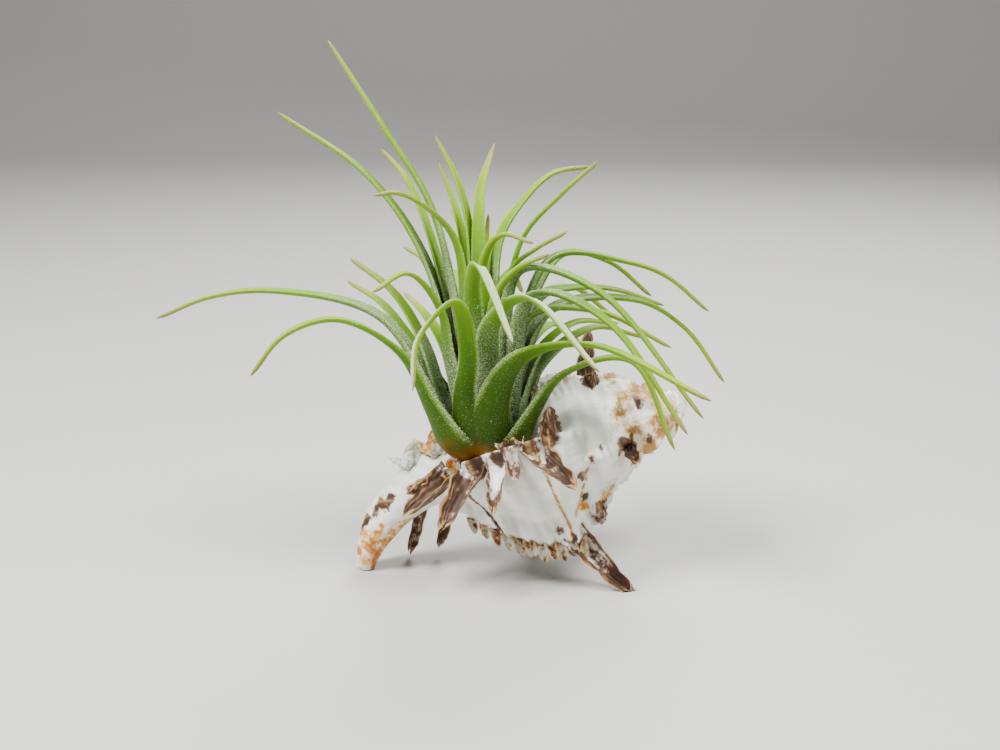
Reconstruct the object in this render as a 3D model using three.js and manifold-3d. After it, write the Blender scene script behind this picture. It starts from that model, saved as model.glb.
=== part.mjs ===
// An air plant growing out of the mouth of a spiny sea shell.
//
// The shell lies on its back on three points: the tip of its canal and one long frond on
// each of two varices. Its mouth looks up, and the plant's short stem stands in it. Every
// leaf is a solid of its own round that stem, and the shell with its fronds is one solid.
// Millimetres, +Z up. A viewer stands at -Y, with +X to the right.

import * as THREE from 'three';
import Module from 'manifold-3d';
import { mergeVertices } from 'three/addons/utils/BufferGeometryUtils.js';

const wasm = await Module();
wasm.setup();

const DEG = Math.PI / 180;
const GAP = 0.3; // clearance kept between solids that touch on the real thing

// Driving dimensions of the shell
const APEX = new THREE.Vector3(38.5, 7, 35); // tip of the spire
const AXIS = new THREE.Vector3(-0.961, -0.043, -0.274).normalize(); // from spire to canal
const NECK = 50; // distance from the apex at which the canal starts to bend
const CANAL_LENGTH = 30.6;
const CANAL_TURN = 67; // degrees that the canal bends down over its length
const SHELL_LENGTH = NECK + CANAL_LENGTH;
const LIP_ANGLE = 22; // where the outer lip stands round the axis: 0 faces -Y, 90 up
const LIP_STEP = 3; // degrees over which the skin falls from the lip to the whorl behind it
const WHORL_GROWTH = 1.47; // how much larger each whorl is than the one before it
const SPIRE_SQUASH = 1.36; // how much flatter still each whorl before the last one is
const WHORLS = 7;
const VARIX_STEP = 78; // degrees of growth between two varices
const VARIX_HEIGHTS = [0.8, 4.6, 2.2, 1.6]; // the lip's own, then those behind it
const VARIX_HALF_WIDTH = 8; // degrees
const CORD_HEIGHT = 0.25; // spiral cords that run round each whorl
const CORD_PITCH = 4.2;
const SHELL_COLUMNS = 39;

// Outline of the last whorl at the lip: distance from the apex, distance from the axis
const WHORL_OUTLINE = [
  [16.8, 0], [18, 5.5], [21, 10.5], [25, 14.6], [29, 17], [33, 18.1], [37, 18],
  [42, 16], [47, 12.6], [51, 9.4], [55, 6.6], [60, 4], [64, 0],
];
// Outline of the pillar that the whorls wind round, and of the canal that carries it on
const PILLAR_OUTLINE = [
  [0, 1.2], [2, 2.2], [20, 3], [30, 3.5], [40, 4.2], [47, 5.2], [52, 5.6],
  [60, 4.9], [70, 3.8], [76, 2.6], [SHELL_LENGTH, 1.7],
];

// The mouth's hollow, in which the stem stands: its centre and half sizes
const MOUTH = { centre: [-2.6, -2.6, 27], half: [11, 5.4, 8.6] };

// Fronds of the shell. Each row holds the distance from the apex, the angle round the axis,
// the tip's place (x, y, z), the width of the root and how far the frond bows outward.
const FEET = [
  [30, -56, 27.0, -8.0, -0.9, 6.0, 0.2],
  [33, -134, 8.0, 21.5, -0.9, 6.4, 1.5],
];
const FRONDS = [
  [28.6, 20, 9.6, -9.5, 39.0, 5.0, 1.6],
  [33.5, 19, 14.2, -17.6, 25.8, 6.6, 2.2],
  [37.0, 18, 3.2, -15.2, 26.0, 3.0, 0.4],
  [38.2, 22, 0.5, -11.4, 32.4, 2.8, 0.8],
  [35.2, 22, 3.8, -11.8, 32.8, 2.8, 0.8],
  [39.5, 17, -1.5, -16.6, 20.2, 5.0, 1.6],
  [44.5, 15, -11.0, -16.2, 16.8, 6.6, 2.4],
  [49.0, 14, -18.0, -12.6, 18.2, 6.0, 2.2],
  [53.0, 12, -17.9, -10.6, 22.0, 3.4, 1.0],
  [50.0, 110, -15.2, 2.0, 28.2, 9.4, 0.6],
  [56.0, 112, -20.2, 2.2, 24.9, 8.0, 0.6],
  [23.5, -54, 20.5, -6.0, 13.6, 4.6, 0.8],
  [46.0, -134, -4.6, 11.0, 8.2, 3.8, 0.4],
  [52.0, -134, -12.6, 10.4, 2.8, 3.2, 0.4],
  [59.0, -134, -19.2, 9.6, 1.7, 2.8, 0.4],
  [27.0, -134, 20.0, 24.5, 9.0, 5.4, 1.0],
  [20.0, 148, 19.0, 20.4, 47.6, 5.0, 0.8],
  [18.2, 70, 18.4, 0.2, 43.2, 4.6, 0.0],
  [15.0, -8, 27.6, -4.6, 26.2, 4.4, 1.4],
];
// Teeth that follow a rule: distance from the apex at the lip, length and width there
const TEETH = [
  [31.2, 2.4, 2.6], [33.4, 2.0, 2.6], [35.6, 2.4, 2.6], [37.8, 2.0, 2.6], [40, 2.5, 2.6],
  [42.2, 2.1, 2.6], [44.4, 2.6, 2.6], [46.6, 2.2, 2.4], [48.8, 2.5, 2.4], [51, 2.0, 2.2],
  [53.2, 2.0, 2.2],
];
// How long the teeth are on each varix behind the lip, as a share of those lengths
const VARIX_WEAR = [0, 1.35, 1.2, 0.9, 0.4];
const TEETH_LEAN = 5; // degrees that a tooth's tip lies ahead of its root
const FROND_ROOT = 2.5; // how deep a frond is rooted in the shell at most

// Driving dimensions of the plant
const STEM = new THREE.Vector3(-3.2, -2.2, 20.5); // bottom of the stem, in the mouth
const STEM_PROFILE = [ // height above the bottom, radius
  [0, 2.0], [1.5, 2.7], [5, 3.4], [7, 4.9], [9, 5.2], [11, 4.5], [13, 3.1], [15, 1.5],
];
const FIRST_LEAF = 5.5; // height above the stem's bottom of the outermost leaf's root
const LAST_LEAF = 14.4; // and of the innermost leaf's
// The plant's foot bulges in an oval. Where each leaf crosses it, for the outermost and the
// innermost leaf: distance from the stem's middle along X and Y, and height above its bottom.
const BULGE = { x: [9.6, 2.4], y: [7.2, 2.4], height: [9.2, 20.5] };
const LEAF_STEPS = 9;
const TURNS_PER_STEP = 4; // how often the section is turned between two rings of a leaf
const UPTURN = 6; // how firmly a leaf turns its inner face up where it bends over
const LEAF_THICKNESS = [1.5, 0.8]; // at the foot, and from two thirds of the length on
const LEAF_WRAP = [0.55, 0.25]; // channel's depth for half the width, at the foot and halfway
const THINNEST = 0.45; // least half width of a leaf
const SLIM_FOOT = { share: 0.5, length: 0.25 }; // how much slimmer the inner leaves start
// Outlines of a leaf: share of the length, share of the width. Those between are mixed.
const OUTER_LEAF = [
  [0, 0.7], [0.06, 1], [0.13, 1], [0.24, 0.68], [0.36, 0.48], [0.55, 0.38], [0.8, 0.27], [1, 0.1],
];
const INNER_LEAF = [
  [0, 0.7], [0.06, 1], [0.13, 1], [0.24, 0.8], [0.36, 0.64], [0.55, 0.48], [0.8, 0.3], [1, 0.1],
];
const INNER_FROM = 0.25; // share of the leaves, counted inwards, that are outer ones in part
const CROWD = { radius: 14, top: 68 }; // the space round the stem where leaves press together

// The leaves, from the outermost inwards. Each row holds the direction in which the leaf
// leaves the stem (degrees), its width, and the places that it passes, up to its tip.
const LEAVES = [
  [223, 10.6, [-13.6, -8.2, 37.5], [-19.6, -9.4, 50],
    [-31, -10.5, 56.6], [-41, -12, 54], [-47.5, -13, 46.5]],
  [324, 8.4, [6.8, -7.4, 36.6], [12.6, -8.8, 45.6], [25, -11.5, 48.8], [33.6, -13.5, 32]],
  [92, 7.6, [-4, 14, 44], [-5, 28, 49], [-6, 40, 40]],
  [278, 10, [-1.4, -10.4, 38.5], [3.4, -11.5, 48.5], [16.8, -17, 53.3], [38.6, -24, 44.6]],
  [250, 8.4, [-7.2, -9.5, 40.5], [-6.2, -12, 50], [-8.6, -15.5, 61], [-15.2, -18.5, 54.8],
    [-16.2, -21, 46]],
  [55, 7.6, [4, 12, 43], [11, 23, 48], [18, 34, 41]],
  [126, 7.4, [-9, 11, 42], [-12, 22, 47], [-13, 31, 44]],
  [20, 7.4, [8, 5, 43], [19, 11, 50], [30, 16, 47]],
  [168, 7.6, [-15.5, 3, 48.5], [-21.5, 6, 58.5], [-30, 8, 65]],
  [186, 7.8, [-23.5, 0, 54.5], [-44.5, 2, 59.6], [-57.5, 2.5, 58.4], [-68.5, 3, 54]],
  [276, 8.0, [-2.4, -7.5, 46], [-1.5, -11, 56], [5, -15, 61.8], [18, -23, 50]],
  [75, 7.2, [-1, 13, 52], [2, 26, 58], [5, 38, 52]],
  [150, 7.2, [-18, 6, 48], [-24, 9, 55.5], [-31, 12, 59.5]],
  [0, 7.2, [8, 1, 47.5], [15, 3, 53], [23.5, 5, 52.5]],
  [328, 7.4, [6.5, -8, 61], [19.6, -13.5, 57.5], [35.5, -17.5, 36.2]],
  [108, 7.0, [-7, 12, 53], [-10, 24, 59], [-12, 35, 56]],
  [38, 7.0, [5, 10, 53], [14, 20, 57], [24, 29, 49]],
  [345, 7.0, [6, -3, 55.5], [19.5, -3, 56.5], [33.5, -3, 49.5]],
  [143, 7.0, [-11, 9, 46], [-16, 14.5, 52.5], [-20, 19.5, 55.5]],
  [256, 7.4, [-5, -6.5, 54], [-5.4, -9.5, 63.5], [-4.2, -13, 67.6], [2.2, -23, 55.5]],
  [6, 7.0, [10, 2, 55.5], [27, 5, 57.2], [37.5, 7, 51], [46, 8, 39.5]],
  [212, 7.0, [-10.4, -5.5, 48.5], [-11.6, -6.5, 57.5], [-17.5, -10.5, 65.7], [-23.5, -14, 63]],
  [338, 7.0, [4, -5, 65], [18.5, -9, 62], [39, -13, 38]],
  [132, 6.8, [-13, 8, 59.5], [-16, 12, 64.5], [-19.5, 15, 66]],
  [88, 6.6, [-3, 10, 61], [-2, 20, 67], [0, 31, 65]],
  [26, 6.8, [8, 7.5, 57], [14, 9.5, 58.6], [23.5, 11.5, 58], [33.5, 13, 54.5]],
  [355, 6.8, [10, 0, 66.5], [25.5, 2, 65.4], [33, 2.5, 62.6], [41.5, 3, 55.5]],
  [304, 6.4, [-0.8, -5.4, 59.2], [3.5, -7, 66], [9, -9, 69]],
  [175, 6.8, [-15, 1, 66.5], [-26, 3, 82.5], [-43, 4, 94.5]],
  [60, 6.4, [1, 9, 60], [6, 17, 62], [12, 26, 59]],
  [218, 6.6, [-8.5, -4, 70], [-13, -6.5, 76.8], [-19, -9.5, 80.8], [-23.2, -12, 80.8]],
  [30, 6.4, [12, 6, 66], [21.5, 9, 64.5], [31, 13, 56.5]],
  [115, 6.2, [-6, 8, 63], [-8, 14, 70], [-10, 20, 73]],
  [315, 5.8, [-3, -4.2, 67], [0.5, -7, 72.5], [6, -10, 71.5]],
  [150, 6.2, [-14, 4, 70.5], [-18.5, 8, 81], [-23.5, 11, 86.5]],
  [345, 6.4, [4, -2, 70], [11.5, -3, 79.4], [18.5, -4, 86]],
  [188, 6.8, [-13, 0, 75.5], [-22.5, 1, 92], [-32.5, 2, 108]],
  [325, 5.6, [2, -3, 64.5], [7, -5, 69.5], [12.5, -7, 73]],
  [70, 5.8, [-1, 6, 65], [1, 12, 72], [4, 18, 75]],
  [20, 6.2, [0, 1, 69.5], [5, 2.5, 78], [10.5, 4, 82.8], [17.5, 5, 84]],
  [130, 5.2, [-7.5, 5, 69.5], [-9.5, 8, 77], [-12, 10, 83.5]],
  [165, 6.0, [-6, 2, 70.5], [-8.5, 4, 81.5], [-12.5, 6, 89.5]],
  [290, 5.4, [-3, 2, 65.5], [-2.6, 3, 70], [-2.3, 3, 74.5]],
  [80, 7.0, [-4.2, 1, 72], [-3.6, 3, 80.5], [-1.2, 6, 88]],
];

function mix(a, b, t) {
  return a + (b - a) * t;
}

// Value of a broken line of [x, y] points at x
function along(outline, x) {
  if (x <= outline[0][0]) return outline[0][1];
  for (let i = 1; i < outline.length; i += 1) {
    const [x1, y1] = outline[i];
    const [x0, y0] = outline[i - 1];
    if (x <= x1) return mix(y0, y1, (x - x0) / (x1 - x0));
  }
  return outline[outline.length - 1][1];
}

// A closed geometry through rings of points, ended by one point at each end
function skin(rings, first, last) {
  const sides = rings[0].length;
  const start = rings.length * sides;
  const lastRing = start - sides;
  const index = [];
  for (let k = 0; k + 1 < rings.length; k += 1) {
    for (let i = 0; i < sides; i += 1) {
      const a = k * sides + i;
      const b = k * sides + ((i + 1) % sides);
      index.push(a, b, a + sides, b, b + sides, a + sides);
    }
  }
  for (let i = 0; i < sides; i += 1) {
    const next = (i + 1) % sides;
    index.push(start, next, i, start + 1, lastRing + i, lastRing + next);
  }
  const position = [...rings.flat(), first, last].flatMap((p) => [p.x, p.y, p.z]);
  const geometry = new THREE.BufferGeometry();
  geometry.setAttribute('position', new THREE.Float32BufferAttribute(position, 3));
  geometry.setIndex(index);
  return geometry;
}

function toSolid(geometry) {
  geometry.deleteAttribute('normal');
  geometry.deleteAttribute('uv');
  const merged = mergeVertices(geometry, 1e-4);
  return new wasm.Manifold(new wasm.Mesh({
    numProp: 3,
    vertProperties: new Float32Array(merged.attributes.position.array),
    triVerts: new Uint32Array(merged.index.array),
  }));
}

// The solid inside a skin, whichever way round its rings were drawn
function skinSolid(rings, first, last) {
  const solid = toSolid(skin(rings, first, last));
  if (solid.volume() > 0) return solid;
  return toSolid(skin(rings.map((ring) => [...ring].reverse()), first, last));
}

function toGeometry(solid) {
  const mesh = solid.getMesh();
  const geometry = new THREE.BufferGeometry();
  geometry.setAttribute('position', new THREE.Float32BufferAttribute(mesh.vertProperties, 3));
  geometry.setIndex(new THREE.Uint32BufferAttribute(mesh.triVerts, 1));
  geometry.computeVertexNormals();
  return geometry;
}

// The largest of the pieces that a cut has left
function largestPiece(solid) {
  return solid.decompose().reduce((best, piece) => (
    piece.volume() > best.volume() ? piece : best));
}

// The shell's own coordinates are the distance down its axis from the apex, the angle round
// the axis and the distance from it. Past the neck the axis bends down with the canal.
const FRONT = new THREE.Vector3(0, -1, 0);
FRONT.addScaledVector(AXIS, -FRONT.dot(AXIS)).normalize();
const TOP = new THREE.Vector3().crossVectors(AXIS, FRONT);

function shellPoint(down, degrees, radius) {
  const centre = APEX.clone().addScaledVector(AXIS, Math.min(down, NECK));
  const bend = Math.max(0, (down - NECK) / CANAL_LENGTH) * CANAL_TURN * DEG;
  const bendRadius = CANAL_LENGTH / (CANAL_TURN * DEG);
  centre.addScaledVector(AXIS, bendRadius * Math.sin(bend));
  centre.addScaledVector(TOP, -bendRadius * (1 - Math.cos(bend)));
  const up = TOP.clone().multiplyScalar(Math.cos(bend)).addScaledVector(AXIS, Math.sin(bend));
  return centre.addScaledVector(FRONT, radius * Math.cos(degrees * DEG))
    .addScaledVector(up, radius * Math.sin(degrees * DEG));
}

// Growth runs with the angle, so every turn back from the lip is one whorl earlier
function turnsBeforeLip(degrees) {
  return ((((LIP_ANGLE - degrees) / 360) % 1) + 1) % 1;
}

function varixRidge(turns) {
  const steps = (turns * 360) / VARIX_STEP;
  const away = ((steps - Math.round(steps)) * VARIX_STEP) / VARIX_HALF_WIDTH;
  const height = VARIX_HEIGHTS[Math.min(Math.round(steps), VARIX_HEIGHTS.length - 1)];
  return height * Math.exp(-away * away);
}

function whorlRadius(down, turns) {
  const scale = WHORL_GROWTH ** -turns;
  const place = (down / scale) * SPIRE_SQUASH ** Math.max(0, turns - 1);
  const radius = along(WHORL_OUTLINE, place);
  const relief = varixRidge(turns) + CORD_HEIGHT * Math.cos((2 * Math.PI * place) / CORD_PITCH);
  return scale * (radius + Math.min(1, radius / 8) * relief);
}

function shellRadius(down, turns) {
  let radius = along(PILLAR_OUTLINE, down);
  for (let n = 0; n < WHORLS; n += 1) {
    radius = Math.max(radius, whorlRadius(down, turns + n));
  }
  return radius;
}

// The whorls as one skin round the axis. Its step at the lip is the plane of the mouth.
function shellBody() {
  const downs = [];
  for (let down = 1.6; down < 16; down *= 1.33) downs.push(down);
  for (let down = 16.6; down < NECK + 9; down += 2.1) downs.push(down);
  for (let k = 0; k <= 6; k += 1) downs.push(mix(NECK + 10, SHELL_LENGTH, k / 6));
  const rings = downs.map((down) => Array.from({ length: SHELL_COLUMNS }, (_, i) => {
    const back = ((360 - LIP_STEP) * i) / (SHELL_COLUMNS - 1);
    return shellPoint(down, LIP_ANGLE - back, shellRadius(down, back / 360));
  }));
  return skinSolid(rings, shellPoint(0, 0, 0), shellPoint(SHELL_LENGTH + 0.8, 0, 0));
}

function mouthHollow() {
  const hollow = new THREE.SphereGeometry(1, 20, 12);
  hollow.scale(...MOUTH.half);
  hollow.translate(...MOUTH.centre);
  return toSolid(hollow);
}

// A folded, tapering blade that leaves the shell and bows outward to its tip
function frond(down, degrees, tip, width, bow) {
  const depth = Math.min(FROND_ROOT, width / 2);
  const reach = shellRadius(down, turnsBeforeLip(degrees));
  const root = shellPoint(down, degrees, reach - depth);
  const outward = shellPoint(down, degrees, reach).sub(root).normalize();
  const middle = root.clone().lerp(tip, 0.5).addScaledVector(outward, bow);
  const curve = new THREE.QuadraticBezierCurve3(root, middle, tip);
  const across = shellPoint(down + 1, degrees, reach).sub(shellPoint(down - 1, degrees, reach));
  const rings = [0, 0.45, 0.85].map((t) => {
    const centre = curve.getPoint(t);
    const ahead = curve.getTangent(t);
    const side = across.clone().addScaledVector(ahead, -across.dot(ahead)).normalize();
    const back = new THREE.Vector3().crossVectors(ahead, side);
    const half = (width / 2) * mix(1, 0.3, t);
    return [[0, -0.25], [1, -0.5], [0, 0.6], [-1, -0.5]].map(([a, b]) => centre.clone()
      .addScaledVector(side, a * half).addScaledVector(back, b * half));
  });
  return skinSolid(rings, root, tip);
}

function shellSolid() {
  let solid = shellBody();
  for (const [down, degrees, x, y, z, width, bow] of [...FEET, ...FRONDS]) {
    solid = solid.add(frond(down, degrees, new THREE.Vector3(x, y, z), width, bow));
  }
  VARIX_WEAR.forEach((wear, n) => {
    if (wear === 0) return;
    const degrees = LIP_ANGLE - VARIX_STEP * n;
    const scale = WHORL_GROWTH ** ((-VARIX_STEP * n) / 360);
    for (const [place, length, width] of TEETH) {
      const down = place * scale;
      const reach = shellRadius(down, turnsBeforeLip(degrees)) + length * wear * scale;
      const tip = shellPoint(down, degrees - TEETH_LEAN, reach);
      solid = solid.add(frond(down, degrees, tip, width * scale, 0));
    }
  });
  return solid;
}

function stemSolid(grow) {
  const profile = STEM_PROFILE.map(([height, radius], i) => new THREE.Vector2(
    radius + grow, height + (i > 0 ? grow : -grow)));
  profile.unshift(new THREE.Vector2(0, profile[0].y));
  profile.push(new THREE.Vector2(0, profile[profile.length - 1].y));
  const geometry = new THREE.LatheGeometry(profile, 12);
  geometry.rotateX(Math.PI / 2);
  geometry.translate(STEM.x, STEM.y, STEM.z);
  return toSolid(geometry);
}

// The centre line of a leaf: out of the stem, then through its places
function leafCurve([azimuth, , ...places], order) {
  const out = new THREE.Vector3(Math.cos(azimuth * DEG), Math.sin(azimuth * DEG), 0);
  const height = mix(FIRST_LEAF, LAST_LEAF, order);
  const root = STEM.clone().addScaledVector(out, along(STEM_PROFILE, height) * 0.8);
  root.z += height;
  const inward = order ** 0.8;
  const bulge = new THREE.Vector3(
    out.x * mix(...BULGE.x, inward), out.y * mix(...BULGE.y, inward), mix(...BULGE.height, inward));
  const points = [root, bulge.add(STEM), ...places.map((place) => new THREE.Vector3(...place))];
  return new THREE.CatmullRomCurve3(points, false, 'centripetal');
}

// A leaf is a channelled blade, wrapped round the plant's axis at its foot. Grown by a
// clearance, it is what cuts the leaves further out.
function leafSolid(leaf, order, grow) {
  const [azimuth, width] = leaf;
  const curve = leafCurve(leaf, order);
  const inner = new THREE.Vector3(-Math.cos(azimuth * DEG), -Math.sin(azimuth * DEG), 0);
  const rings = [];
  const turns = LEAF_STEPS * TURNS_PER_STEP;
  for (let k = 0; k <= turns; k += 1) {
    const s = k / turns;
    const ahead = curve.getTangentAt(s);
    inner.z += UPTURN / turns;
    inner.addScaledVector(ahead, -inner.dot(ahead)).normalize();
    if (k % TURNS_PER_STEP) continue;
    const centre = curve.getPointAt(s);
    const across = new THREE.Vector3().crossVectors(ahead, inner);
    const slim = 1 - SLIM_FOOT.share * order * Math.max(0, 1 - s / SLIM_FOOT.length);
    const inward = Math.min(1, order / INNER_FROM);
    const share = mix(along(OUTER_LEAF, s), along(INNER_LEAF, s), inward) * slim;
    const half = Math.max(THINNEST, (width / 2) * share) + grow;
    const thick = mix(...LEAF_THICKNESS, Math.min(1, s * 1.5)) / 2 + grow;
    const wrap = half * mix(...LEAF_WRAP, Math.min(1, s * 2));
    rings.push([[-1, 0.3], [0, -1.2], [1, 0.3], [0, 0.8]].map(([a, b]) => (
      centre.clone().addScaledVector(across, a * half)
        .addScaledVector(inner, b * thick + a * a * wrap))));
  }
  const tip = curve.getPointAt(1).addScaledVector(curve.getTangentAt(1), 1 + grow);
  const foot = curve.getPointAt(0).addScaledVector(curve.getTangentAt(0), -grow);
  return skinSolid(rings, foot, tip);
}

const shellWhite = new THREE.MeshStandardMaterial({ color: 0xe4e2d8, roughness: 0.55 });
const leafGreen = new THREE.MeshStandardMaterial({ color: 0x86a44e, roughness: 0.8 });
const stemBrown = new THREE.MeshStandardMaterial({ color: 0x8a6a3c, roughness: 0.9 });

const group = new THREE.Group();

function addNode(name, solid, material) {
  const mesh = new THREE.Mesh(toGeometry(solid), material);
  mesh.name = name;
  group.add(mesh);
}

// Each leaf gives way to the stem and, where they press together, to the leaves inside it
const crowd = new THREE.CylinderGeometry(CROWD.radius, CROWD.radius, CROWD.top, 16);
crowd.rotateX(Math.PI / 2);
crowd.translate(STEM.x, STEM.y, CROWD.top / 2);
const crowdSolid = toSolid(crowd);
const orders = LEAVES.map((_, i) => i / (LEAVES.length - 1));
const cutters = LEAVES.map((leaf, i) => leafSolid(leaf, orders[i], GAP).intersect(crowdSolid));
const stemCutter = stemSolid(GAP);
const leaves = LEAVES.map((leaf, i) => {
  const inside = cutters.slice(i + 1).reduce((all, cutter) => all.add(cutter), stemCutter);
  return largestPiece(leafSolid(leaf, orders[i], 0).subtract(inside));
});

// The shell gives way to the plant, and its feet are cut flat where it stands
const below = new THREE.BoxGeometry(200, 200, 40);
below.translate(0, 0, -20);
const plant = cutters.reduce((all, cutter) => all.add(cutter), stemCutter);
const shell = largestPiece(
  shellSolid().subtract(mouthHollow()).subtract(plant).subtract(toSolid(below)));

addNode('murex_shell', shell, shellWhite);
addNode('plant_stem', stemSolid(0), stemBrown);
leaves.forEach((leaf, i) => {
  addNode(`leaf_${String(i + 1).padStart(2, '0')}`, leaf, leafGreen);
});

// The origin is where the part stands: at the middle of its extent, on the surface
const extent = new THREE.Box3().setFromObject(group);
const middle = extent.getCenter(new THREE.Vector3());
group.position.set(-middle.x, -middle.y, -extent.min.z);

export default group;
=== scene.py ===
# %% [markdown]
# An air plant in a sea shell
#
# The plant is a rosette of some forty channelled leaves, green under a dusting of silver
# scales. It grows out of the mouth of a murex shell: a white spiral with brown, frilled
# fronds, lying on its back on its canal and two long fronds. This lesson dresses the
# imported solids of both. The solids give every place and size. The leaves, the whorls and
# the fronds are modelled again here, finer, from the same driving dimensions.

import bisect
import math
import random

import bmesh
import bpy
from mathutils import Matrix, Vector, geometry, kdtree, noise


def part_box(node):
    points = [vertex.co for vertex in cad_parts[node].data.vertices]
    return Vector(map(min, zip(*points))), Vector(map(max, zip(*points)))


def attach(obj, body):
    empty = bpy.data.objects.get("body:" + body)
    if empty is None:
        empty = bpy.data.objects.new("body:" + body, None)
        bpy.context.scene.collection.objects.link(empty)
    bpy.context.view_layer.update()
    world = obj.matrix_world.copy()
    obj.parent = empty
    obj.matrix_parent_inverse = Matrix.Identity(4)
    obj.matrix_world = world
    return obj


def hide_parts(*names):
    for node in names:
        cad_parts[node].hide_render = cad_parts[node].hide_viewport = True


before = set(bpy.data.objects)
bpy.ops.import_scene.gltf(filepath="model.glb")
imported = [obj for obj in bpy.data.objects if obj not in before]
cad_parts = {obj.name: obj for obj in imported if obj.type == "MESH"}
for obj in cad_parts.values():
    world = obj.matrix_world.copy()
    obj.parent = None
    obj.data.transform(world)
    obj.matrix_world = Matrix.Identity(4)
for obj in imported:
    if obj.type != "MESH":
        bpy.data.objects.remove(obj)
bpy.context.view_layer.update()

# %% [markdown]
# Places below are in millimetres, in the frame in which the part was designed. That frame
# has its origin on the table, close to the plant's foot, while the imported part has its
# origin in the middle of its extent. The stem's box tells how far apart the two are.

# %% Place of the design frame
MM = 0.001
STEM = Vector((-3.2, -2.2, 20.5))
stem_low, stem_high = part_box("plant_stem")
OFFSET = Vector(((stem_low[0] + stem_high[0]) / 2, (stem_low[1] + stem_high[1]) / 2, 0))
OFFSET -= Vector((STEM.x, STEM.y, 0)) * MM
print("design frame lies at", [round(v, 5) for v in OFFSET])

# %% [markdown]
# Most shapes here start from a flat grid of faces. Each of its points is then carried to
# its place on the real surface: round the shell's axis, or round and along a leaf. So the
# helper that finishes a piece merges the grid's edges where they meet, turns all faces
# outward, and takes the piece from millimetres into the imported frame.

# %% Helpers for values and for finishing a piece
MERGE_DISTANCE = 1e-4


def mix(a, b, t):
    return a + (b - a) * t


def clamp(value, low=0.0, high=1.0):
    return max(low, min(high, value))


def ease(low, high, value):
    """0 below low, 1 above high, and a smooth step between them."""
    t = clamp((value - low) / (high - low))
    return t * t * (3 - 2 * t)


def smooth_line(points):
    """A function that runs smoothly through [x, y] points, without overshoot."""
    xs = [x for x, _ in points]
    ys = [y for _, y in points]
    steps = [(ys[i + 1] - ys[i]) / (xs[i + 1] - xs[i]) for i in range(len(xs) - 1)]
    slopes = [steps[0]]
    for before, after in zip(steps, steps[1:]):
        slopes.append(0 if before * after <= 0 else 2 * before * after / (before + after))
    slopes.append(steps[-1])

    def value(x):
        if x <= xs[0]:
            return ys[0]
        if x >= xs[-1]:
            return ys[-1]
        i = bisect.bisect_right(xs, x) - 1
        width = xs[i + 1] - xs[i]
        t = (x - xs[i]) / width
        return ((1 + 2 * t) * (1 - t) ** 2 * ys[i] + t * t * (3 - 2 * t) * ys[i + 1]
                + width * t * (1 - t) * ((1 - t) * slopes[i] - t * slopes[i + 1]))

    return value


def new_mesh(attributes):
    """An empty bmesh with a UV map, and its point attributes by name."""
    bm = bmesh.new()
    bm.loops.layers.uv.new("UVMap")
    for attribute_name in attributes:
        bm.verts.layers.float.new(attribute_name)
    return bm, {name: bm.verts.layers.float[name] for name in attributes}


def grid(columns, rows, *attributes):
    """A grid, its points with their place across and along, 0 to 1, and its attributes."""
    bm, layers = new_mesh(attributes)
    bmesh.ops.create_grid(
        bm, x_segments=columns, y_segments=rows, size=1.0, calc_uvs=True)
    points = [(vert, (vert.co.x + 1) / 2, (vert.co.y + 1) / 2) for vert in bm.verts]
    return bm, points, layers


def add_to(whole, part):
    """Add one bmesh to another and free it."""
    mesh = bpy.data.meshes.new("part")
    part.to_mesh(mesh)
    part.free()
    whole.from_mesh(mesh)
    bpy.data.meshes.remove(mesh)


def finish_piece(bm, name, nodes, material, merge=True):
    """Turn a bmesh in millimetres into a piece that takes the place of the named solids."""
    if merge:
        bmesh.ops.remove_doubles(bm, verts=bm.verts, dist=MERGE_DISTANCE)
        bmesh.ops.recalc_face_normals(bm, faces=bm.faces)
    for face in bm.faces:
        face.smooth = True
    bmesh.ops.scale(bm, vec=(MM, MM, MM), verts=bm.verts)
    bmesh.ops.translate(bm, vec=OFFSET, verts=bm.verts)
    mesh = bpy.data.meshes.new(name)
    bm.to_mesh(mesh)
    bm.free()
    mesh.materials.append(material)
    piece = bpy.data.objects.new(name, mesh)
    bpy.context.collection.objects.link(piece)
    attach(piece, "root")
    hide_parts(*nodes)
    return piece


print("half way up a smooth step:", ease(0, 1, 0.5))

# %% [markdown]
# The finishes come next. Colours are read off as the 0 to 255 values of a screen,
# so one helper turns them into the linear values that a shader wants. Lengthwise streaks
# and soft patches come up in more than one material, so each is a node group. The silver
# scales are a third group, which keeps the leaf's own finish easy to read.

# %% Helpers for materials
def srgb(red, green, blue):
    """The linear colour of three screen values, by the screen's standard curve."""
    channels = [c / 255 for c in (red, green, blue)]
    return [c / 12.92 if c <= 0.04045 else ((c + 0.055) / 1.055) ** 2.4
            for c in channels] + [1.0]


def add_node(tree, kind, values=None, **settings):
    """A new node with its settings, and its inputs filled in or linked."""
    node = tree.nodes.new(kind)
    for key, value in settings.items():
        setattr(node, key, value)
    for socket, value in (values or {}).items():
        if isinstance(value, bpy.types.NodeSocket):
            tree.links.new(value, node.inputs[socket])
        else:
            node.inputs[socket].default_value = value
    return node


def new_group(name, inputs, outputs):
    """An empty node group, what it is given, and the node that takes its results."""
    tree = bpy.data.node_groups.new(name, "ShaderNodeTree")
    for label, kind, value in inputs:
        socket = tree.interface.new_socket(label, in_out="INPUT", socket_type=kind)
        if value is not None:
            socket.default_value = value
    for label, kind in outputs:
        tree.interface.new_socket(label, in_out="OUTPUT", socket_type=kind)
    return tree, tree.nodes.new("NodeGroupInput").outputs, tree.nodes.new("NodeGroupOutput")


def use_group(tree, group, values):
    """Place a node group in a material and give back its result."""
    return add_node(tree, "ShaderNodeGroup", values, node_tree=group).outputs[0]


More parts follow.
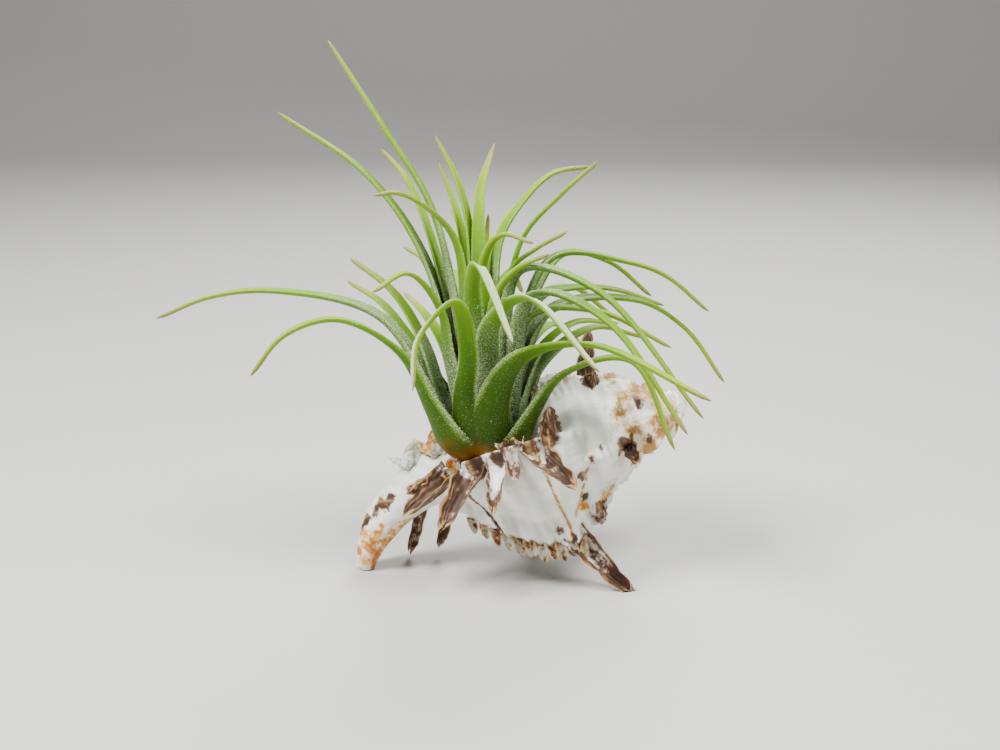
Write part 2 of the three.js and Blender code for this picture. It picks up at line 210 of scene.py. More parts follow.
def ramp(tree, factor, stops):
    """A colour that goes through the stops, each a place from 0 to 1 and a colour."""
    node = add_node(tree, "ShaderNodeValToRGB", {0: factor})
    elements = node.color_ramp.elements
    while len(elements) < len(stops):
        elements.new(0.5)
    for element, (place, colour) in zip(elements, stops):
        element.position = place
        element.color = colour
    return node.outputs["Color"]


def blend_colour(tree, factor, first, second):
    """A mix of two colours. A Mix node takes them as its inputs 6 and 7, out at 2."""
    node = add_node(tree, "ShaderNodeMix", {0: factor, 6: first, 7: second}, data_type="RGBA")
    return node.outputs[2]


def sums(tree, operation, first, second=0.0, third=0.0):
    """One step of arithmetic on values that change over the surface."""
    node = add_node(tree, "ShaderNodeMath", {0: first, 1: second, 2: third}, operation=operation)
    return node.outputs[0]


def smooth_range(tree, value, low, high):
    """0 where the value is below low, 1 above high, and a smooth step between them."""
    node = add_node(
        tree, "ShaderNodeMapRange", {"Value": value, "From Min": low, "From Max": high},
        interpolation_type="SMOOTHSTEP")
    return node.outputs[0]


def attribute(tree, name):
    return add_node(tree, "ShaderNodeAttribute", attribute_name=name).outputs["Fac"]


def object_place(tree):
    return add_node(tree, "ShaderNodeTexCoord").outputs["Object"]


def flat_place(tree):
    return add_node(tree, "ShaderNodeUVMap", uv_map="UVMap").outputs["UV"]


def new_material(name):
    material = bpy.data.materials.new(name)
    material.use_nodes = True
    tree = material.node_tree
    return material, tree, tree.nodes["Principled BSDF"].inputs


def set_relief(tree, surface, height, strength, distance):
    """Small relief, by a pattern's height and the distance in metres that it stands for."""
    bump = add_node(tree, "ShaderNodeBump", {
        "Height": height, "Strength": strength, "Distance": distance})
    tree.links.new(bump.outputs[0], surface["Normal"])


def let_light_in(surface, radius):
    """Let a little light pass under a thin surface, red, green and blue by the radius."""
    surface["Subsurface Weight"].default_value = 0.06
    surface["Subsurface Radius"].default_value = radius
    surface["Subsurface Scale"].default_value = 0.002


print("a screen grey of 128 is", round(srgb(128, 128, 128)[0], 3), "of white in real light")

# %% Three effects as node groups
scales_group, given, result = new_group(
    "silver_scales",
    [("Vector", "NodeSocketVector", None), ("Per Metre", "NodeSocketFloat", 3000.0),
     ("Cover", "NodeSocketFloat", 0.5)],
    [("Mask", "NodeSocketFloat")])
cells = add_node(scales_group, "ShaderNodeTexVoronoi",
                 {"Vector": given["Vector"], "Scale": given["Per Metre"]})
dot = add_node(scales_group, "ShaderNodeMapRange",
               {"Value": cells.outputs["Distance"], "From Min": 0.25, "From Max": 0.5,
                "To Min": 1.0, "To Max": 0.0})
chance = add_node(scales_group, "ShaderNodeSeparateColor", {0: cells.outputs["Color"]})
present = sums(scales_group, "LESS_THAN", chance.outputs[0], given["Cover"])
scales_group.links.new(
    sums(scales_group, "MULTIPLY", dot.outputs[0], present), result.inputs["Mask"])

streaks_group, given, result = new_group(
    "lengthwise_streaks",
    [("Vector", "NodeSocketVector", None), ("Across", "NodeSocketFloat", 30.0),
     ("Along", "NodeSocketFloat", 2.0)],
    [("Value", "NodeSocketFloat")])
stretch = add_node(streaks_group, "ShaderNodeCombineXYZ",
                   {"X": given["Across"], "Y": given["Along"], "Z": 1.0})
stretched = add_node(streaks_group, "ShaderNodeVectorMath",
                     {0: given["Vector"], 1: stretch.outputs[0]}, operation="MULTIPLY")
fibres = add_node(streaks_group, "ShaderNodeTexNoise",
                  {"Vector": stretched.outputs[0], "Scale": 1.0, "Detail": 3.0})
streaks_group.links.new(fibres.outputs["Fac"], result.inputs["Value"])

patches_group, given, result = new_group(
    "soft_patches",
    [("Vector", "NodeSocketVector", None), ("Per Metre", "NodeSocketFloat", 200.0),
     ("Low", "NodeSocketFloat", 0.4), ("High", "NodeSocketFloat", 0.6)],
    [("Mask", "NodeSocketFloat")])
clouds = add_node(patches_group, "ShaderNodeTexNoise",
                  {"Vector": given["Vector"], "Scale": given["Per Metre"], "Detail": 4.0})
patches_group.links.new(
    smooth_range(patches_group, clouds.outputs["Fac"], given["Low"], given["High"]),
    result.inputs["Mask"])


def streaks(tree, flat, across, along):
    """Streaks along a piece, by how many lie across it and how often they change along it."""
    return use_group(tree, streaks_group, {"Vector": flat, "Across": across, "Along": along})


def patches(tree, place, per_metre, low, high):
    """Soft patches. The closer low and high are, the harder are the patches' edges."""
    return use_group(tree, patches_group, {
        "Vector": place, "Per Metre": per_metre, "Low": low, "High": high})


print("node groups:", [group.name for group in bpy.data.node_groups])

# %% [markdown]
# A leaf's green runs from a deep green at the foot, through a fresh yellow green, to a dry,
# pinkish tip. The deep green low down and the bright green up high are partly the leaf's
# own colour and partly painted shade and painted light from above. Its margins are paler,
# and that paleness is a painted rim light. Over it lie the scales that drink dew: dense on
# the channelled inner face, sparse on the smooth backs of the outer leaves, and darker
# towards the foot by painted shade. How dense they are at each point of a leaf is worked
# out when the leaf is made and kept in an attribute, "silver". "margin" is high along both
# edges, "dry" where the foot has dried to orange brown, and "tone" tells one leaf from the
# next. A little sheen stands for the down's finest hairs, which catch light at the edges.

# %% Leaf finish
SCALES_PER_METRE = 4600
FIBRES_ACROSS, FIBRES_ALONG = 46.0, 5.0
CRUMBS = (500.0, 0.35, 0.65)
TONE_SHARE, FIBRE_SHARE, PAINTED_RIM_LIGHT_SHARE, POWDER_SHARE = 0.3, 0.4, 0.45, 0.55
POWDER_POWER = 1.7
LEAF_RELIEF, LEAF_RELIEF_DEPTH, DOT_RELIEF = 0.6, 0.00012, 0.7
# The leaf's own green with painted shade low down and painted light up high; the dry tip is its
# own colour.
GREEN_AND_PAINTED_LIGHT_FOOT_TO_TIP = [
    (0.0, srgb(60, 56, 10)), (0.1, srgb(41, 62, 3)), (0.3, srgb(47, 75, 2)),
    (0.45, srgb(72, 112, 1)), (0.65, srgb(114, 160, 2)), (0.9, srgb(156, 180, 12)),
    (0.97, srgb(160, 150, 80)), (1.0, srgb(146, 104, 82))]
# The dusting's colour, darker towards the foot by painted shade.
POWDER_AND_PAINTED_SHADE = [(0.1, srgb(92, 112, 66)), (0.45, srgb(118, 140, 86)), (0.7, srgb(208, 220, 186))]
OTHER_TONE, FIBRE_GREEN = srgb(92, 132, 4), srgb(28, 56, 10)
# The margin green is a painted rim light; the dry brown and the dot white are the leaf's own
# colours.
PAINTED_RIM_LIGHT_GREEN, DRY_BROWN, DOT_WHITE = srgb(128, 166, 26), srgb(122, 74, 16), srgb(214, 222, 198)

leaf_finish, tree, surface = new_material("silver_dusted_leaf")
place, flat = object_place(tree), flat_place(tree)
along_leaf = add_node(tree, "ShaderNodeSeparateXYZ", {0: flat}).outputs["Y"]
silver = attribute(tree, "silver")
# Green along the leaf: painted shade near the foot, painted light towards the top.
green = ramp(tree, along_leaf, GREEN_AND_PAINTED_LIGHT_FOOT_TO_TIP)
tone = sums(tree, "MULTIPLY", attribute(tree, "tone"), TONE_SHARE)
green = blend_colour(tree, tone, green, OTHER_TONE)
fibre = streaks(tree, flat, FIBRES_ACROSS, FIBRES_ALONG)
green = blend_colour(tree, sums(tree, "MULTIPLY", fibre, FIBRE_SHARE), green, FIBRE_GREEN)
# Paler green along both margins: a painted rim light.
margin = sums(tree, "MULTIPLY", attribute(tree, "margin"), PAINTED_RIM_LIGHT_SHARE)
green = blend_colour(tree, margin, green, PAINTED_RIM_LIGHT_GREEN)
dusted = sums(tree, "MULTIPLY", sums(tree, "POWER", silver, POWDER_POWER), POWDER_SHARE)
# Silver dusting, darkened towards the foot by painted shade.
green = blend_colour(tree, dusted, green, ramp(tree, along_leaf, POWDER_AND_PAINTED_SHADE))
crumbs = sums(tree, "MULTIPLY_ADD", patches(tree, place, *CRUMBS), 0.4, 0.6)
dry = sums(tree, "MULTIPLY", attribute(tree, "dry"), crumbs)
green = blend_colour(tree, dry, green, DRY_BROWN)
dots = use_group(tree, scales_group, {
    "Vector": place, "Per Metre": SCALES_PER_METRE, "Cover": silver})
bright = sums(tree, "MULTIPLY", dots, sums(tree, "MULTIPLY_ADD", silver, 0.6, 0.1))
tree.links.new(blend_colour(tree, bright, green, DOT_WHITE), surface["Base Color"])
tree.links.new(sums(tree, "MULTIPLY_ADD", silver, 0.3, 0.48), surface["Roughness"])
height = sums(tree, "MULTIPLY_ADD", dots, DOT_RELIEF, fibre)
set_relief(tree, surface, height, LEAF_RELIEF, LEAF_RELIEF_DEPTH)
surface["Specular IOR Level"].default_value = 0.1
surface["Sheen Weight"].default_value = 0.04
surface["Sheen Roughness"].default_value = 0.4
surface["Sheen Tint"].default_value = srgb(206, 236, 90)
let_light_in(surface, (0.3, 0.6, 0.1))
print("leaf finish has", len(tree.nodes), "nodes")

# %% Finish of the raised scales
scale_finish, tree, surface = new_material("leaf_scale")
surface["Base Color"].default_value = srgb(206, 218, 184)
surface["Roughness"].default_value = 0.7
print("raised scales have a plain finish,", scale_finish.name)

# %% [markdown]
# The shell is chalky white and a little greyer in patches. Between its spiral cords, and
# between the ribs of a frond, it is greyer still and brown there is darker: that is painted
# shade in the grooves. Three kinds of stain lie on it, and each is an attribute that is
# filled in where the shell is made: "brown" round the fronds' roots and over the fronds,
# "tan" on the worn spire and the teeth, and "orange" on the canal, inside the mouth and on
# the tips of the white plates. Patches break up the edges of each, and each goes from a pale
# edge to a deep middle. "crest" is high on every cord of a whorl and every rib of a frond,
# where brown is rubbed pale, and low in the grooves that get the painted shade.

# %% Shell finish
CHALK_WHITE, CHALK_GREY = srgb(247, 247, 241), srgb(204, 207, 192)
STAIN_COLOURS = {
    "tan": (srgb(222, 196, 144), srgb(160, 112, 52)),
    "orange": (srgb(226, 172, 84), srgb(170, 96, 14)),
    "brown": (srgb(104, 60, 24), srgb(54, 28, 8))}
STAIN_EDGE, STAIN_MIDDLE = (0.7, 1.15), (0.95, 1.4)
# The groove brown is painted shade in the grooves; the rubbed tan is real wear.
GROOVE_SHADE_BROWN, RUBBED_TAN = srgb(40, 20, 6), srgb(192, 152, 98)
CLOUDS, BLOTCHES, SPECKS = (130.0, 0.35, 0.65), (420.0, 0.3, 0.7), (1500.0, 0.35, 0.65)
# Crests paler and grooves greyer: painted shade in the grooves, and on fronds also real rubbing.
CLOUD_GREY, GREY_EVERYWHERE, CREST_WHITE_GROOVE_SHADE = 0.6, 0.3, -0.35
BLOTCH_EDGE, SPECK_EDGE = 0.5, 0.22
GROOVE_SHADE_BELOW, RUBBED_POWER = 0.45, 4.0
SPECK_RELIEF, SHELL_RELIEF_DEPTH = 0.3, 0.00015


def shell_material(name, roughness, rib_depth, across, along):
    """Chalk white, the three stains, painted shade in the grooves, and brown rubbed on crests."""
    material, tree, surface = new_material(name)
    place, flat = object_place(tree), flat_place(tree)
    cloudy, blotch, speck = [patches(tree, place, *kind) for kind in (CLOUDS, BLOTCHES, SPECKS)]
    crest = attribute(tree, "crest")
    grey = sums(tree, "MULTIPLY_ADD", cloudy, CLOUD_GREY, GREY_EVERYWHERE)
    # Greyer between cords and ribs: painted shade in the grooves.
    grey = sums(tree, "MULTIPLY_ADD", crest, CREST_WHITE_GROOVE_SHADE, grey)
    colour = blend_colour(tree, grey, CHALK_WHITE, CHALK_GREY)
    uneven = sums(tree, "MULTIPLY", speck, SPECK_EDGE)
    uneven = sums(tree, "MULTIPLY_ADD", blotch, BLOTCH_EDGE, uneven)
    amounts = {stain: attribute(tree, stain) for stain in STAIN_COLOURS}
    for stain, (pale, deep) in STAIN_COLOURS.items():
        amount = sums(tree, "ADD", amounts[stain], uneven)
        middle = blend_colour(tree, smooth_range(tree, amount, *STAIN_MIDDLE), pale, deep)
        colour = blend_colour(tree, smooth_range(tree, amount, *STAIN_EDGE), colour, middle)
    # Brown darkened in the grooves: painted shade.
    groove = sums(tree, "SUBTRACT", GROOVE_SHADE_BELOW, crest)
    groove = sums(tree, "MULTIPLY", groove, amounts["brown"])
    colour = blend_colour(tree, groove, colour, GROOVE_SHADE_BROWN)
    lines = streaks(tree, flat, across, along)
    worn = sums(tree, "MULTIPLY", sums(tree, "POWER", crest, RUBBED_POWER), amounts["brown"])
    worn = sums(tree, "MULTIPLY", worn, sums(tree, "MULTIPLY_ADD", lines, 2.2, -0.55))
    colour = blend_colour(tree, worn, colour, RUBBED_TAN)
    tree.links.new(colour, surface["Base Color"])
    tree.links.new(sums(tree, "MULTIPLY_ADD", blotch, 0.2, roughness), surface["Roughness"])
    height = sums(tree, "MULTIPLY_ADD", speck, SPECK_RELIEF, lines)
    set_relief(tree, surface, height, rib_depth, SHELL_RELIEF_DEPTH)
    let_light_in(surface, (0.8, 0.6, 0.4))
    return material


shell_finish = shell_material(
    "chalky_shell", roughness=0.42, rib_depth=0.3, across=160.0, along=14.0)
frond_finish = shell_material(
    "frilled_frond", roughness=0.5, rib_depth=1.0, across=60.0, along=4.0)
print("shell finishes:", shell_finish.name, "and", frond_finish.name)

# %% Stem finish
STEM_BROWNS = [(0.3, srgb(70, 44, 20)), (0.5, srgb(140, 92, 36)), (0.7, srgb(186, 140, 70))]
stem_finish, tree, surface = new_material("dry_stem")
fibre = streaks(tree, flat_place(tree), 40.0, 3.0)
tree.links.new(ramp(tree, fibre, STEM_BROWNS), surface["Base Color"])
tree.links.new(sums(tree, "MULTIPLY_ADD", fibre, 0.2, 0.7), surface["Roughness"])
set_relief(tree, surface, fibre, 0.8, 0.0004)
print("stem finish:", stem_finish.name)

# %% [markdown]
# The shell grows in a spiral: each turn back from the lip is the same whorl, smaller. So
# the surface is a radius round an axis, and that radius is the largest of the last whorl,
# the whorl before it, and so on up the spire. Past the neck the axis bends down, and the
# pillar that the whorls wind round carries on as the canal, on whose tip the shell stands.
# Ridges called varices, where growth paused, cross the whorls every 78 degrees.

# %% Driving dimensions of the shell
APEX = Vector((38.5, 7, 35))
AXIS = Vector((-0.961, -0.043, -0.274)).normalized()
NECK = 50
CANAL_LENGTH = 30.6
CANAL_TURN = math.radians(67)
SHELL_LENGTH = NECK + CANAL_LENGTH
LIP_ANGLE = 22
LIP_STEP = 3
WHORL_GROWTH = 1.47
SPIRE_SQUASH = 1.36
WHORLS = 7
VARIX_STEP = 78
VARIX_HEIGHTS = [0.8, 4.6, 2.2, 1.6]
VARIX_HALF_WIDTH = 8
OLD_VARIX_SHARE = 1.8
CORD_PITCH, CORD_HEIGHT = 4.2, 0.07
THREADS_PER_CORD, THREAD_HEIGHT = 4, 0.05
LUMP_HEIGHT = 1.1
FULL_RELIEF_RADIUS = 8
FRILL_START, FRILL_PITCH, FRILL_HEIGHT = 31.2, 2.2, 0.4
KEEL_PLACE, KEEL_HEIGHT, KEEL_HALF_WIDTH, KEEL_END = 31.9, 1.6, 0.9, 0.24
WHORL_END = 64
whorl_outline = smooth_line([
    (16.8, 0), (18, 5.5), (21, 10.5), (25, 14.6), (29, 17), (33, 18.1), (37, 18),
    (42, 16), (47, 12.6), (51, 9.4), (55, 6.6), (60, 4), (WHORL_END, 0)])
pillar_outline = smooth_line([
    (0, 1.2), (2, 2.2), (20, 3), (30, 3.5), (40, 4.2), (47, 5.2), (52, 5.6),
    (60, 4.9), (70, 3.8), (76, 2.6), (SHELL_LENGTH, 1.7)])

# Each row: a set of growth lines' height, how many cross one turn, and their own noise layer
GROWTH_LINES = [(0.38, 34, 3.0), (0.2, 90, 7.0)]
print("the shell is", round(SHELL_LENGTH, 1), "mm long along its axis")

# %% The shell's own coordinates
FRONT = (Vector((0, -1, 0)) - AXIS * -AXIS.y).normalized()
TOP = AXIS.cross(FRONT)


def shell_point(down, degrees, radius):
    """The place at a distance down the axis, an angle round it and a distance from it."""
    bend = max(0, (down - NECK) / CANAL_LENGTH) * CANAL_TURN
    bend_radius = CANAL_LENGTH / CANAL_TURN
    centre = (APEX + AXIS * (min(down, NECK) + bend_radius * math.sin(bend))
              - TOP * bend_radius * (1 - math.cos(bend)))
    up = TOP * math.cos(bend) + AXIS * math.sin(bend)
    turn = math.radians(degrees)
    return centre + FRONT * radius * math.cos(turn) + up * radius * math.sin(turn)


def turns_before_lip(degrees):
    return ((LIP_ANGLE - degrees) / 360) % 1


def bell(away):
    """1 in the middle, and falling off to both sides."""
    return math.exp(-away ** 2)


def varix_ridge(turns):
    steps = turns * 360 / VARIX_STEP
    away = (steps - round(steps)) * VARIX_STEP / VARIX_HALF_WIDTH
    return VARIX_HEIGHTS[min(round(steps), len(VARIX_HEIGHTS) - 1)] * bell(away)


def whorl_radius(down, turns):
    """Radius of one whorl, with its spiral cords, its varices and its growth lines."""
    scale = WHORL_GROWTH ** -turns
    place = down / scale * SPIRE_SQUASH ** max(0, turns - 1)
    radius = whorl_outline(place)
    if radius <= 0:
        return 0
    cord_turn = 2 * math.pi * place / CORD_PITCH
    cords = CORD_HEIGHT * math.cos(cord_turn)
    threads = THREAD_HEIGHT * math.cos(THREADS_PER_CORD * cord_turn)
    lines = sum(height * noise.noise((turns * per_turn, place * 0.1, layer))
                for height, per_turn, layer in GROWTH_LINES)
    ridge = varix_ridge(turns) * mix(1, OLD_VARIX_SHARE, ease(0.6, 0.9, turns))
    frill = math.cos(2 * math.pi * (place - FRILL_START) / FRILL_PITCH)
    ridge += FRILL_HEIGHT * frill * min(1, ridge)
    keel = KEEL_HEIGHT * bell((place - KEEL_PLACE) / KEEL_HALF_WIDTH) * (turns < KEEL_END)
    lumps = LUMP_HEIGHT * ease(0.75, 1.2, turns) * noise.noise((turns * 8, place * 0.3, 5.0))
    relief = ridge + cords + threads + lines + keel + lumps
    return scale * (radius + min(1, radius / FULL_RELIEF_RADIUS) * relief)


def shell_radius(down, turns):
    """Radius of the whole shell: the largest of the pillar and the whorls that lie there."""
    radius = pillar_outline(down)
    for whorl in range(WHORLS):
        if down * WHORL_GROWTH ** (turns + whorl) > WHORL_END:
            break
        radius = max(radius, whorl_radius(down, turns + whorl))
    return radius


print("radius of the last whorl at the lip:", round(shell_radius(34, 0), 2), "mm")

# %% [markdown]
# The fronds stand on the varices. Their tips were placed one by one in the solid, and the
# same list is used here, so each fine frond stands where its plain solid does. The teeth
# between them follow a rule. Each row of a frond holds the distance from the apex, the
# angle round the axis, the tip, the root's width, how far the frond bows outward, how brown
# it is and how white its fold is. The two that aren't brown at all are broad white plates
# near the canal. Each row of a tooth holds the distance from the apex, its length and its
# width. A tooth has no bow and no white fold. The lip has long fronds and no teeth, the
# next varices have teeth longer than listed, and up the spire they are worn short.

# %% Fronds and teeth
FRONDS = [
    (30, -56, (27.0, -8.0, -0.9), 6.0, 0.2, 1.0, 0.45),
    (33, -134, (8.0, 21.5, -0.9), 6.4, 1.5, 1.0, 0.5),
    (28.6, 20, (9.6, -9.5, 39.0), 5.0, 1.6, 1.0, 0.0),
    (33.5, 19, (14.2, -17.6, 25.8), 6.6, 2.2, 1.0, 0.2),
    (37.0, 18, (3.2, -15.2, 26.0), 3.0, 0.4, 0.7, 0.2),
    (38.2, 22, (0.5, -11.4, 32.4), 2.8, 0.8, 0.8, 0.6),
    (35.2, 22, (3.8, -11.8, 32.8), 2.8, 0.8, 0.8, 0.6),
    (39.5, 17, (-1.5, -16.6, 20.2), 5.0, 1.6, 0.9, 1.0),
    (44.5, 15, (-11.0, -16.2, 16.8), 6.6, 2.4, 1.0, 0.1),
    (49.0, 14, (-18.0, -12.6, 18.2), 6.0, 2.2, 1.0, 0.1),
    (53.0, 12, (-17.9, -10.6, 22.0), 3.4, 1.0, 0.9, 0.3),
    (50.0, 110, (-15.2, 2.0, 28.2), 9.4, 0.6, 0.0, 1.0),
    (56.0, 112, (-20.2, 2.2, 24.9), 8.0, 0.6, 0.0, 1.0),
    (23.5, -54, (20.5, -6.0, 13.6), 4.6, 0.8, 0.8, 0.3),
    (46.0, -134, (-4.6, 11.0, 8.2), 3.8, 0.4, 0.9, 0.2),
    (52.0, -134, (-12.6, 10.4, 2.8), 3.2, 0.4, 0.9, 0.2),
    (59.0, -134, (-19.2, 9.6, 1.7), 2.8, 0.4, 0.9, 0.2),
    (27.0, -134, (20.0, 24.5, 9.0), 5.4, 1.0, 1.0, 0.4),
    (20.0, 148, (19.0, 20.4, 47.6), 5.0, 0.8, 1.0, 0.0),
    (18.2, 70, (18.4, 0.2, 43.2), 4.6, 0.0, 1.0, 0.0),
    (15.0, -8, (27.6, -4.6, 26.2), 4.4, 1.4, 1.0, 0.0)]
TEETH = [
    (31.2, 2.4, 2.6), (33.4, 2.0, 2.6), (35.6, 2.4, 2.6), (37.8, 2.0, 2.6), (40, 2.5, 2.6),
    (42.2, 2.1, 2.6), (44.4, 2.6, 2.6), (46.6, 2.2, 2.4), (48.8, 2.5, 2.4), (51, 2.0, 2.2),
    (53.2, 2.0, 2.2)]
TOOTH_BROWN, TOOTH_BOW, TOOTH_FOLD = 0.75, 0, 0
TEETH_BY_VARIX = [0, 1.35, 1.2, 0.9, 0.4]
TEETH_LEAN = 5
FROND_ROOT = 2.5
blades = [(down, degrees, Vector(tip), width, bow, brown, fold)
          for down, degrees, tip, width, bow, brown, fold in FRONDS]
for count, growth in enumerate(TEETH_BY_VARIX):
    angle = LIP_ANGLE - VARIX_STEP * count
    share = WHORL_GROWTH ** (-VARIX_STEP * count / 360)
    for down, length, width in TEETH if growth else []:
        reach = shell_radius(down * share, turns_before_lip(angle)) + length * growth * share
        tip = shell_point(down * share, angle - TEETH_LEAN, reach)
        blades.append(
            (down * share, angle, tip, width * share, TOOTH_BOW, TOOTH_BROWN, TOOTH_FOLD))
print(len(blades), "fronds and teeth")

# %% [markdown]
# Some stains follow the growth: on the last whorl a thin brown line slants across its neck
# and a tan one runs along its keel, where a slanting one meets it. Others are single spots,
# where a frond broke off or the surface wore through. Each spot is a place on the shell and
# a radius.

# %% Stained lines and spots
TAN_LINE, LINES_END = 32.4, 0.215
LINE_STRENGTH, LINE_HALF_WIDTH = 1.1, 0.5
brown_line_place = smooth_line([(-60, 46.3), (-51, 47.8), (-42, 49.4), (-20, 49.9)])
SLANT_PLACE, SLANT, SLANT_HALF_WIDTH = 30.5, -0.178, 0.6
SLANT_FROM, SLANT_TO = -48, -12
SPOT_EDGE = (0.3, 1.9)
SPOTS = {
    "brown": [
        (-22.5, 0.6, 16.5, 1.0), (-24.0, 1.0, 15.3, 1.2), (-25.5, 1.3, 13.9, 1.0),
        (-27.5, 2.2, 11.4, 1.2), (-28.4, 2.7, 9.6, 0.8), (19.0, 16.0, 38.9, 1.4),
        (18.3, -6.6, 27.5, 1.0), (27.6, 0.2, 37.3, 1.4), (30.3, -0.4, 30.1, 1.0),
        (16.4, -7.9, 24.4, 1.0), (17.0, -5.9, 19.3, 1.0), (20.2, -4.4, 16.4, 1.4),
        (12.3, -6.8, 12.4, 1.0), (20.1, -5.9, 29.4, 0.8), (24.0, -3.6, 28.0, 1.0)],
    "orange": [
        (-25.4, 0.4, 9.0, 1.2), (-26.0, 0.7, 7.3, 1.6), (-26.7, 1.0, 5.4, 1.6),
        (-28.0, 1.6, 6.2, 1.6), (-28.3, 2.0, 8.4, 1.4), (-28.2, 1.0, 2.6, 1.8),
        (-26.4, 0.6, 1.6, 1.6), (-29.2, 2.6, 4.6, 1.4),
        (-24.3, 0.2, 10.8, 0.9), (-13.5, 3.2, 25.6, 1.5), (-17.5, 3.6, 25.0, 1.2),
        (16.7, -5.6, 17.3, 1.4), (21.0, -3.4, 17.8, 1.0)],
    "tan": [
        (23.7, -0.6, 35.9, 2.0), (31.4, 2.6, 37.1, 2.8), (33.2, 1.5, 33.1, 2.2),
        (28.2, -1.3, 31.9, 2.0), (21.4, -2.7, 19.2, 1.8), (11.9, -9.7, 20.0, 1.2)]}


def spot_stain(kind, place):
    """How deep into the nearest spot of that kind a place lies: 0 outside, 1 inside."""
    ragged = 1 + 0.5 * noise.noise(place * 0.55) + 0.3 * noise.noise(place * 1.7)
    return max(1 - ease(*SPOT_EDGE, (place - Vector((x, y, z))).length * ragged / radius)
               for x, y, z, radius in SPOTS[kind])


def line_stains(place, degrees):
    """How brown and how tan the lines make a place on the last whorl."""
    brown = LINE_STRENGTH * bell((place - brown_line_place(degrees)) / LINE_HALF_WIDTH)
    tan = LINE_STRENGTH * bell((place - TAN_LINE) / LINE_HALF_WIDTH)
    if SLANT_FROM < degrees < SLANT_TO:
        slanting = SLANT_PLACE + SLANT * (degrees - SLANT_FROM)
        tan = max(tan, bell((place - slanting) / SLANT_HALF_WIDTH))
    return brown, tan


print({kind: len(spots) for kind, spots in SPOTS.items()}, "spots")

# %% [markdown]
# The whorls are one grid, wrapped round the axis. Its columns run back from the lip, and
# its last column closes on the first, where the step from one whorl to the one before it
# is the edge of the mouth. The mouth itself is pressed in: each point inside the hollow
# sinks to the hollow's floor. Stains are filled in as the points are placed.

# %% The whorls, the canal and the mouth
COLUMNS, ROWS = 372, 250
APEX_ROUNDING, CANAL_ROUNDING = 1.6, 1.2
MOUTH_CENTRE, MOUTH_HALF = Vector((-2.6, -2.6, 27)), Vector((11, 5.4, 8.6))
ROOT_STAIN = (0.2, 0.65)
WORN_SPIRE = (13, 19)
ORANGE_CANAL = (56, 68)
roots = kdtree.KDTree(len(blades))
for i, (down, degrees, *_) in enumerate(blades):
    reach = shell_radius(down, turns_before_lip(degrees))
    roots.insert(shell_point(down, degrees, reach), i)
roots.balance()

STAINS = ("brown", "tan", "orange", "crest")
bm, points, stains = grid(COLUMNS, ROWS, *STAINS)
for vert, across, along in points:
    down = SHELL_LENGTH * along
    back = min(360 * across, 360 - LIP_STEP) if across < 1 else 0
    degrees = LIP_ANGLE - back
    radius = shell_radius(down, back / 360)
    radius *= math.sqrt(clamp(down / APEX_ROUNDING))
    radius *= math.sqrt(clamp((SHELL_LENGTH - down) / CANAL_ROUNDING))
    vert.co = shell_point(down, degrees, radius)
    away = Vector([(vert.co[k] - MOUTH_CENTRE[k]) / MOUTH_HALF[k] for k in range(3)])
    if away.length < 1:
        vert.co.z = MOUTH_CENTRE.z - MOUTH_HALF.z * math.sqrt(1 - away.x ** 2 - away.y ** 2)
    vert.co.z = max(vert.co.z, 0)
    _, nearest, distance = roots.find(vert.co)
    place = down * WHORL_GROWTH ** (back / 360)
    brown_line, tan_line = line_stains(place, degrees) if back / 360 < LINES_END else (0, 0)
    _, _, _, size, _, brown, _ = blades[nearest]
    near_root = brown * (1 - ease(ROOT_STAIN[0] * size, ROOT_STAIN[1] * size, distance))
    vert[stains["brown"]] = max(near_root, brown_line, spot_stain("brown", vert.co))
    worn = (0.7 + 0.8 * noise.noise(vert.co * 0.3)) * (1 - ease(*WORN_SPIRE, down))
    vert[stains["tan"]] = max(worn, tan_line, 0.8 * spot_stain("tan", vert.co))
    underside = ease(-0.1, 0.6, -math.sin(math.radians(degrees)))
    canal = 0.85 * ease(*ORANGE_CANAL, down) * underside
    mouth = 0.7 * (away.length < 1)
    vert[stains["orange"]] = max(canal, 0.9 * spot_stain("orange", vert.co), mouth)
    # Crest on the cords; the finish greys the grooves between them as painted shade.
    vert[stains["crest"]] = 0.5 + 0.5 * math.cos(2 * math.pi * place / CORD_PITCH)
shell = finish_piece(bm, "murex_whorls", ["murex_shell"], shell_finish)
print("whorls:", len(shell.data.polygons), "faces")

# %% [markdown]
# A frond is a folded blade, open towards the mouth like a gutter, with ribs along it and a
# ragged tip. Each is a small grid wrapped into a closed section and swept along a bow. In
# life it is brown and rough, rubbed pale on its ribs, its margins and its tip, and often
# white in the fold. Noise makes no two alike: each call reads it at a place made of the
# share along the frond, the share across it and the frond's number.

# %% The relief and the stains of a frond
SPIKES_ALONG, SPIKE_SHIFT, SPIKE_FLOOR = 3.2, 1.3, 0.6
WILD_SPIKES, MILD_SPIKES = 0.36, 0.12
WIDTH_WAVER = 0.2
RIB_WANDER = 5


def margin_spikes(number, t, side_share, size):
    """How much wider the frond is where a spike stands out from one of its two margins."""
    shift = math.copysign(SPIKE_SHIFT, side_share)
    spikes = abs(math.sin(math.pi * (t * SPIKES_ALONG + number * 0.37 + shift))) - SPIKE_FLOOR
    return 1 + spikes * size * abs(side_share) ** 4 * ease(0.1, 0.3, t)


def rib_wave(number, t, turn, ribs):
    """1 on a rib, -1 in a groove, and less where a rib fades. The ribs wander."""
    side_share = math.cos(turn)
    wander = RIB_WANDER * noise.noise((t * 3, number, side_share * 1.5))
    strength = clamp(0.6 + 0.9 * noise.noise((t * 5, number * 2.3, side_share * 3)))
    return math.cos(ribs * turn + wander) * strength


